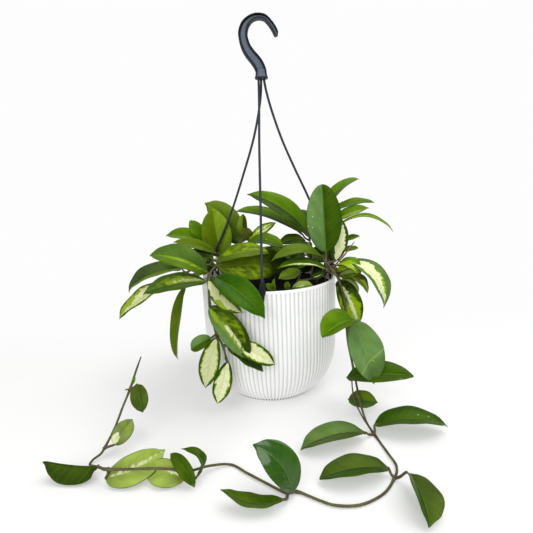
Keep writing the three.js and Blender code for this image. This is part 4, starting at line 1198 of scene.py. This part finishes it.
rightVine = {
    "foot": (66, -8),
    "dryTwig": True,
    "joints": [(74, -22, 156), (82, -34, 168), (90, -38, 170)],
    "leaves": [
        leaf(2, (100, -38, 176), (141, -60, 118), 34, (6, -8, 5), "fern", "bigHeart", arch=0.26, rim=0.2),
        leaf(2, (87, -42, 172), (112, -54, 158), 24, (3, -6, 8), ("lime", "fresh"), "limeWide", arch=0.34,
             rim=0.2),
        leaf(1, (86, -46, 164), (102, -56, 174), 10, (0, -6, 7), "lime"),
        leaf(1, (88, -50, 159), (110, -60, 164), 15, (0, -7, 6), ("olive", "dusty")),
        leaf(2, (92, -51, 160), (119, -66, 140), 19, (3, -5, 7), ("olive", "brown"), "limeTip", arch=0.24,
             rim=0.2, faded=0.8),
        # Blades in the black tone: painted shade, dark leaf parts standing for the deep shade beside the pot
        leaf(1, (88, -54, 155), (107, -68, 140), 12, (3, -6, 6), ("black", "dusty"), arch=0.24),
        leaf(1, (97, -50, 155), (104, -50, 143), 15, (2, -9, -1), "black", fold=4),
    ],
    "twigs": [[(82, -36, 168), (93, -42, 181), (107, -44, 200)]],
}

trailing = {
    "foot": (60, -32),
    "joints": [
        (66, -38, 158), (72, -44, 174), (81, -50, 164), (88, -58, 148), (92, -61, 126), (93, -63, 104),
        (95, -65, 77), (100, -74, 47), (101, -98, 24), (103, -126, 8), (108, -141, 2), (114, -176, 2),
        (116, -190, 2), (114, -199, 2), (109, -208, 2), (94, -226, 2), (70, -238, 2), (48, -237, 2),
        (36, -231, 2), (17, -220, 2), (9, -221, 2), (-14, -205, 2), (-28, -194, 2), (-45, -181, 2),
        (-64, -188, 7), (-86, -203, 13), (-96, -203, 16), (-117, -203, 18), (-139, -203, 18),
        (-157, -202, 18), (-175, -186, 9), (-189, -172, 2), (-187, -168, 4), (-180, -165, 8),
        (-177, -162, 12), (-170, -146, 26),
        (-167, -129, 38), (-162, -115, 52), (-159, -98, 66), (-156, -84, 78),
    ],
    "leaves": [
        leaf(1, (73, -38, 188), (70, -32, 271), 44, (-1, -9, 1), ("deep", "sheen"), fold=10, arch=-0.02,
             full=1, flecks=0.8),
        leaf(1, (86, -28, 174), (92, -18, 232), 29, (3, -9, 2), "deep", "creamStrip", arch=0.03),
        leaf(2, (68, -50, 181), (3, -70, 185), 22, (0, -4, 8), ("soft", "olive"), arch=0.21),
        leaf(2, (72, -60, 168), (10, -78, 178), 17, (0, -4, 8), ("deep", "straw"), "creamEdge", arch=0.15),
        leaf(4, (87, -44, 152), (109, -54, 94), 34, (2, -9, 2), "deep", "creamRib", arch=0.05, fold=30),
        leaf(5, (97, -86, 114), (57, -109, 103), 39, (-2, -5, 8), ("fresh", "bright"), arch=0.12, fold=35,
             full=0.5, flecks=0.7, hook=0.5),
        leaf(5, (98, -76, 110), (118, -104, 41), 45, (2, -8, 4), "sheen", arch=0.06, full=-0.2, flecks=1.0,
             crease=0.66),
        leaf(7, (90, -85, 41), (163, -105, 50), 37, (0, -3, 9), ("green", "deep"), arch=0.05, full=0.4,
             flecks=0.8),
        leaf(8, (91, -88, 14), (123, -101, 16), 23, (0, -6, 7), ("grey", "olive"), arch=0.08),
        leaf(10, (110, -135, 9), (189, -140, 8), 37, (0, 0, 1), ("green", "deep"), flecks=0.6),
        leaf(10, (97, -146, 8), (25, -167, 6), 34, (0, 0, 1), ("fern", "moss"), arch=0.09),
        leaf(14, (105, -202, 8), (39, -210, 6), 31, (0, 0, 1), ("moss", "deep"), arch=0.08, full=0.4),
        leaf(14, (118, -213, 12), (118, -266, 5), 34, (4, -3, 8), ("deep", "moss"), fold=32, late=0.35),
        leaf(19, (13, -228, 8), (-20, -216, 48), 32, (4, -7, 4), "leafy", bend=0.12, wave=2, gloss=0.85),
        leaf(20, (5, -240, 12), (-48, -233, 19), 20, (0, 1, 9), "green", arch=-0.16),
        leaf(25, (-76, -203, 6), (-88, -199, 35), 14, (8, -1, 5), "deep", arch=0.44),
        leaf(25, (-76, -212, 5), (-101, -192, 25), 15, (1, -8, 3), "green", bend=0.1),
        leaf(25, (-85, -203, 7), (-126, -194, 10), 26, (0, -7, 7), "pale", "faintCorner", arch=0.04, rim=0.8),
        leaf(29, (-162, -199, 6), (-108, -181, 22), 29, (0, -8, 6), "pale", "paleAll", bend=0.08,
             faded=0.2, rim=0.9),
        # Painted shade: this blade takes the shade and dark tones, darker than the light on it would show
        leaf(29, (-169, -196, 17), (-224.5, -190, 21), 36, (0, 0, 1), ("shade", "dark"), arch=-0.04,
             fold=-60),
        leaf(34, (-167, -161, 15), (-152, -142, 32), 20, (2, -8, 5), "dusty", "cornerCream", rim=0.7),
        leaf(37, (-153, -115, 58), (-144, -132, 33), 20, (2, -8, 4), "moss"),
        leaf(37, (-160, -112, 57), (-155.5, -111, 65), 4, (0, -9, 1), "fresh"),
    ],
    "twigs": [
        [(96, -80, 42), (96, -94, 20), (100, -116, 10), (106, -138, 3)],
        [(-161, -116, 52), (-163.5, -118, 54), (-166, -119, 54)],
    ],
}

innerLeft = {
    "foot": (-8, -62),
    "joints": [(-6, -66, 144), (-2, -69, 150)],
    "leaves": [
        leaf(1, (4, -71, 150), (-4, -76, 159), 9, (0, -8, 5), "fresh"),
        leaf(0, (8, -69, 148), (7, -66, 163), 5, (-1, -9, 1), "fresh", bend=-0.12),
    ],
}

innerRight = {
    "foot": (30, -52),
    "joints": [(32, -54, 146), (36, -54, 156), (39, -52, 164)],
    "leaves": [
        leaf(2, (39, -51, 168), (12, -66, 163), 18, (0, -6, 7), ("reed", "moor"), arch=-0.05),
        leaf(1, (28, -65, 150), (54, -64, 151), 13, (0, -7, 6), ("fresh", "pale"), "faintStreak",
             arch=0.14, rim=0.2),
        leaf(1, (52, -54, 158), (69, -52, 163), 9, (0, -8, 5), "dark", "faintStreak"),
        leaf(0, (22, -64, 148), (22, -62, 158), 8, (0, -9, 2), "soft"),
    ],
}

vines = {
    "vine_front_left": frontLeft, "vine_far_left": farLeft, "vine_back_left": backLeft, "vine_centre": centre,
    "vine_back_centre": backCentre, "vine_back_right": backRight, "vine_right": rightVine,
    "trailing_vine": trailing, "shoot_inner_left": innerLeft, "shoot_inner_right": innerRight,
}

# The vines on the far side follow one rule: a stem over the back rim with leaves in pairs.
# Each row has the direction, the seed and how far it reaches; joints are distance and height, the last ones
# counted back from the reach
rearVines = {
    "footRadius": 56, "joints": [(64, 158), (80, 167), (97, 164)],
    "hangingJoints": [(-12, 148), (-4, 126), (-6, 102)],
    "pairs": 3, "leafLength": 56, "leafShare": 0.44, "petiole": 8, "sideways": 0.62, "upward": (0.5, 0.8),
    "fallEachPair": 0.3, "length": (0.85, 0.3), "spread": (0.75, 0.2), "rise": (0, 0.2),
    "outward": (0.75, 0.2), "factor": 16807, "modulus": 2147483647,
    "rows": [("vine_rear_left", 138, 11, 122), ("vine_rear", 96, 23, 132), ("vine_rear_right", 50, 37, 120)],
    "looks": [
        ("green", None), ("deep", "heart"), ("bright", None), ("olive", "streaks"), ("green", "flames"),
        ("soft", None),
    ],
}


def rearVine(rule, turn, seed, reach):
    state = seed

    def drawn(key):
        # The rule's least value and its spread, taken up by the next random number
        nonlocal state
        state = (state * rule["factor"]) % rule["modulus"]
        return rule[key][0] + rule[key][1] * (state / rule["modulus"])

    outward = Vector((math.cos(math.radians(turn)), math.sin(math.radians(turn)), 0))
    across, up = Vector((-outward.y, outward.x, 0)), Vector((0, 0, 1))
    steps = rule["joints"] + [(reach + back, height) for back, height in rule["hangingJoints"]]
    joints = [outward * distance + up * height for distance, height in steps]
    leaves = []
    for pair in range(rule["pairs"]):
        for way in (-1, 1):
            length, spread = rule["leafLength"] * drawn("length"), drawn("spread")
            rise = drawn("rise") - rule["fallEachPair"] * pair
            heading = across * (way * spread * rule["sideways"]) + outward * drawn("outward")
            heading = (heading + up * rise).normalized()
            base = joints[pair + 1] + heading * rule["petiole"]
            tone, zone = rule["looks"][(len(leaves) + seed) % len(rule["looks"])]
            face = outward * rule["upward"][0] + up * rule["upward"][1]
            tip, width = base + heading * length, length * rule["leafShare"]
            leaves.append(leaf(pair + 1, base, tip, width, face, tone, zone))
    foot = outward * rule["footRadius"]
    return {"foot": (foot.x, foot.y), "joints": joints, "leaves": leaves}


for rearName, turn, seed, reach in rearVines["rows"]:
    vines[rearName] = rearVine(rearVines, turn, seed, reach)


def plainName(node):
    first, *rest = node.split("_")
    return first + "".join(word.capitalize() for word in rest)


waxyLeaf = leafFinish(leafLook)
vineBark = cloudyFinish("vineBark", stemLook, barkTint("bark", "young"))
dryBark = cloudyFinish("dryBark", stemLook, barkTint("dry", "dryShade"))
barkTree = skinTree("vineStem", vineBark, skinShape, True)
dryTree = skinTree("dryStalk", dryBark, skinShape, True)
leafCount = 0
for vineName, plant in vines.items():
    makeLeaves(plainName(vineName) + "Leaves", vineName, plant["leaves"], leafShape, waxyLeaf, leafCount)
    makeStem(plainName(vineName) + "Stem", vineName, plant, stemSize, barkTree)
    if plant.get("dryTwig"):
        makeStalk(vineName, plant, stemSize, dryTree)
    leafCount += len(plant["leaves"])
print("vines ready:", len(vines), "with", leafCount, "leaves")
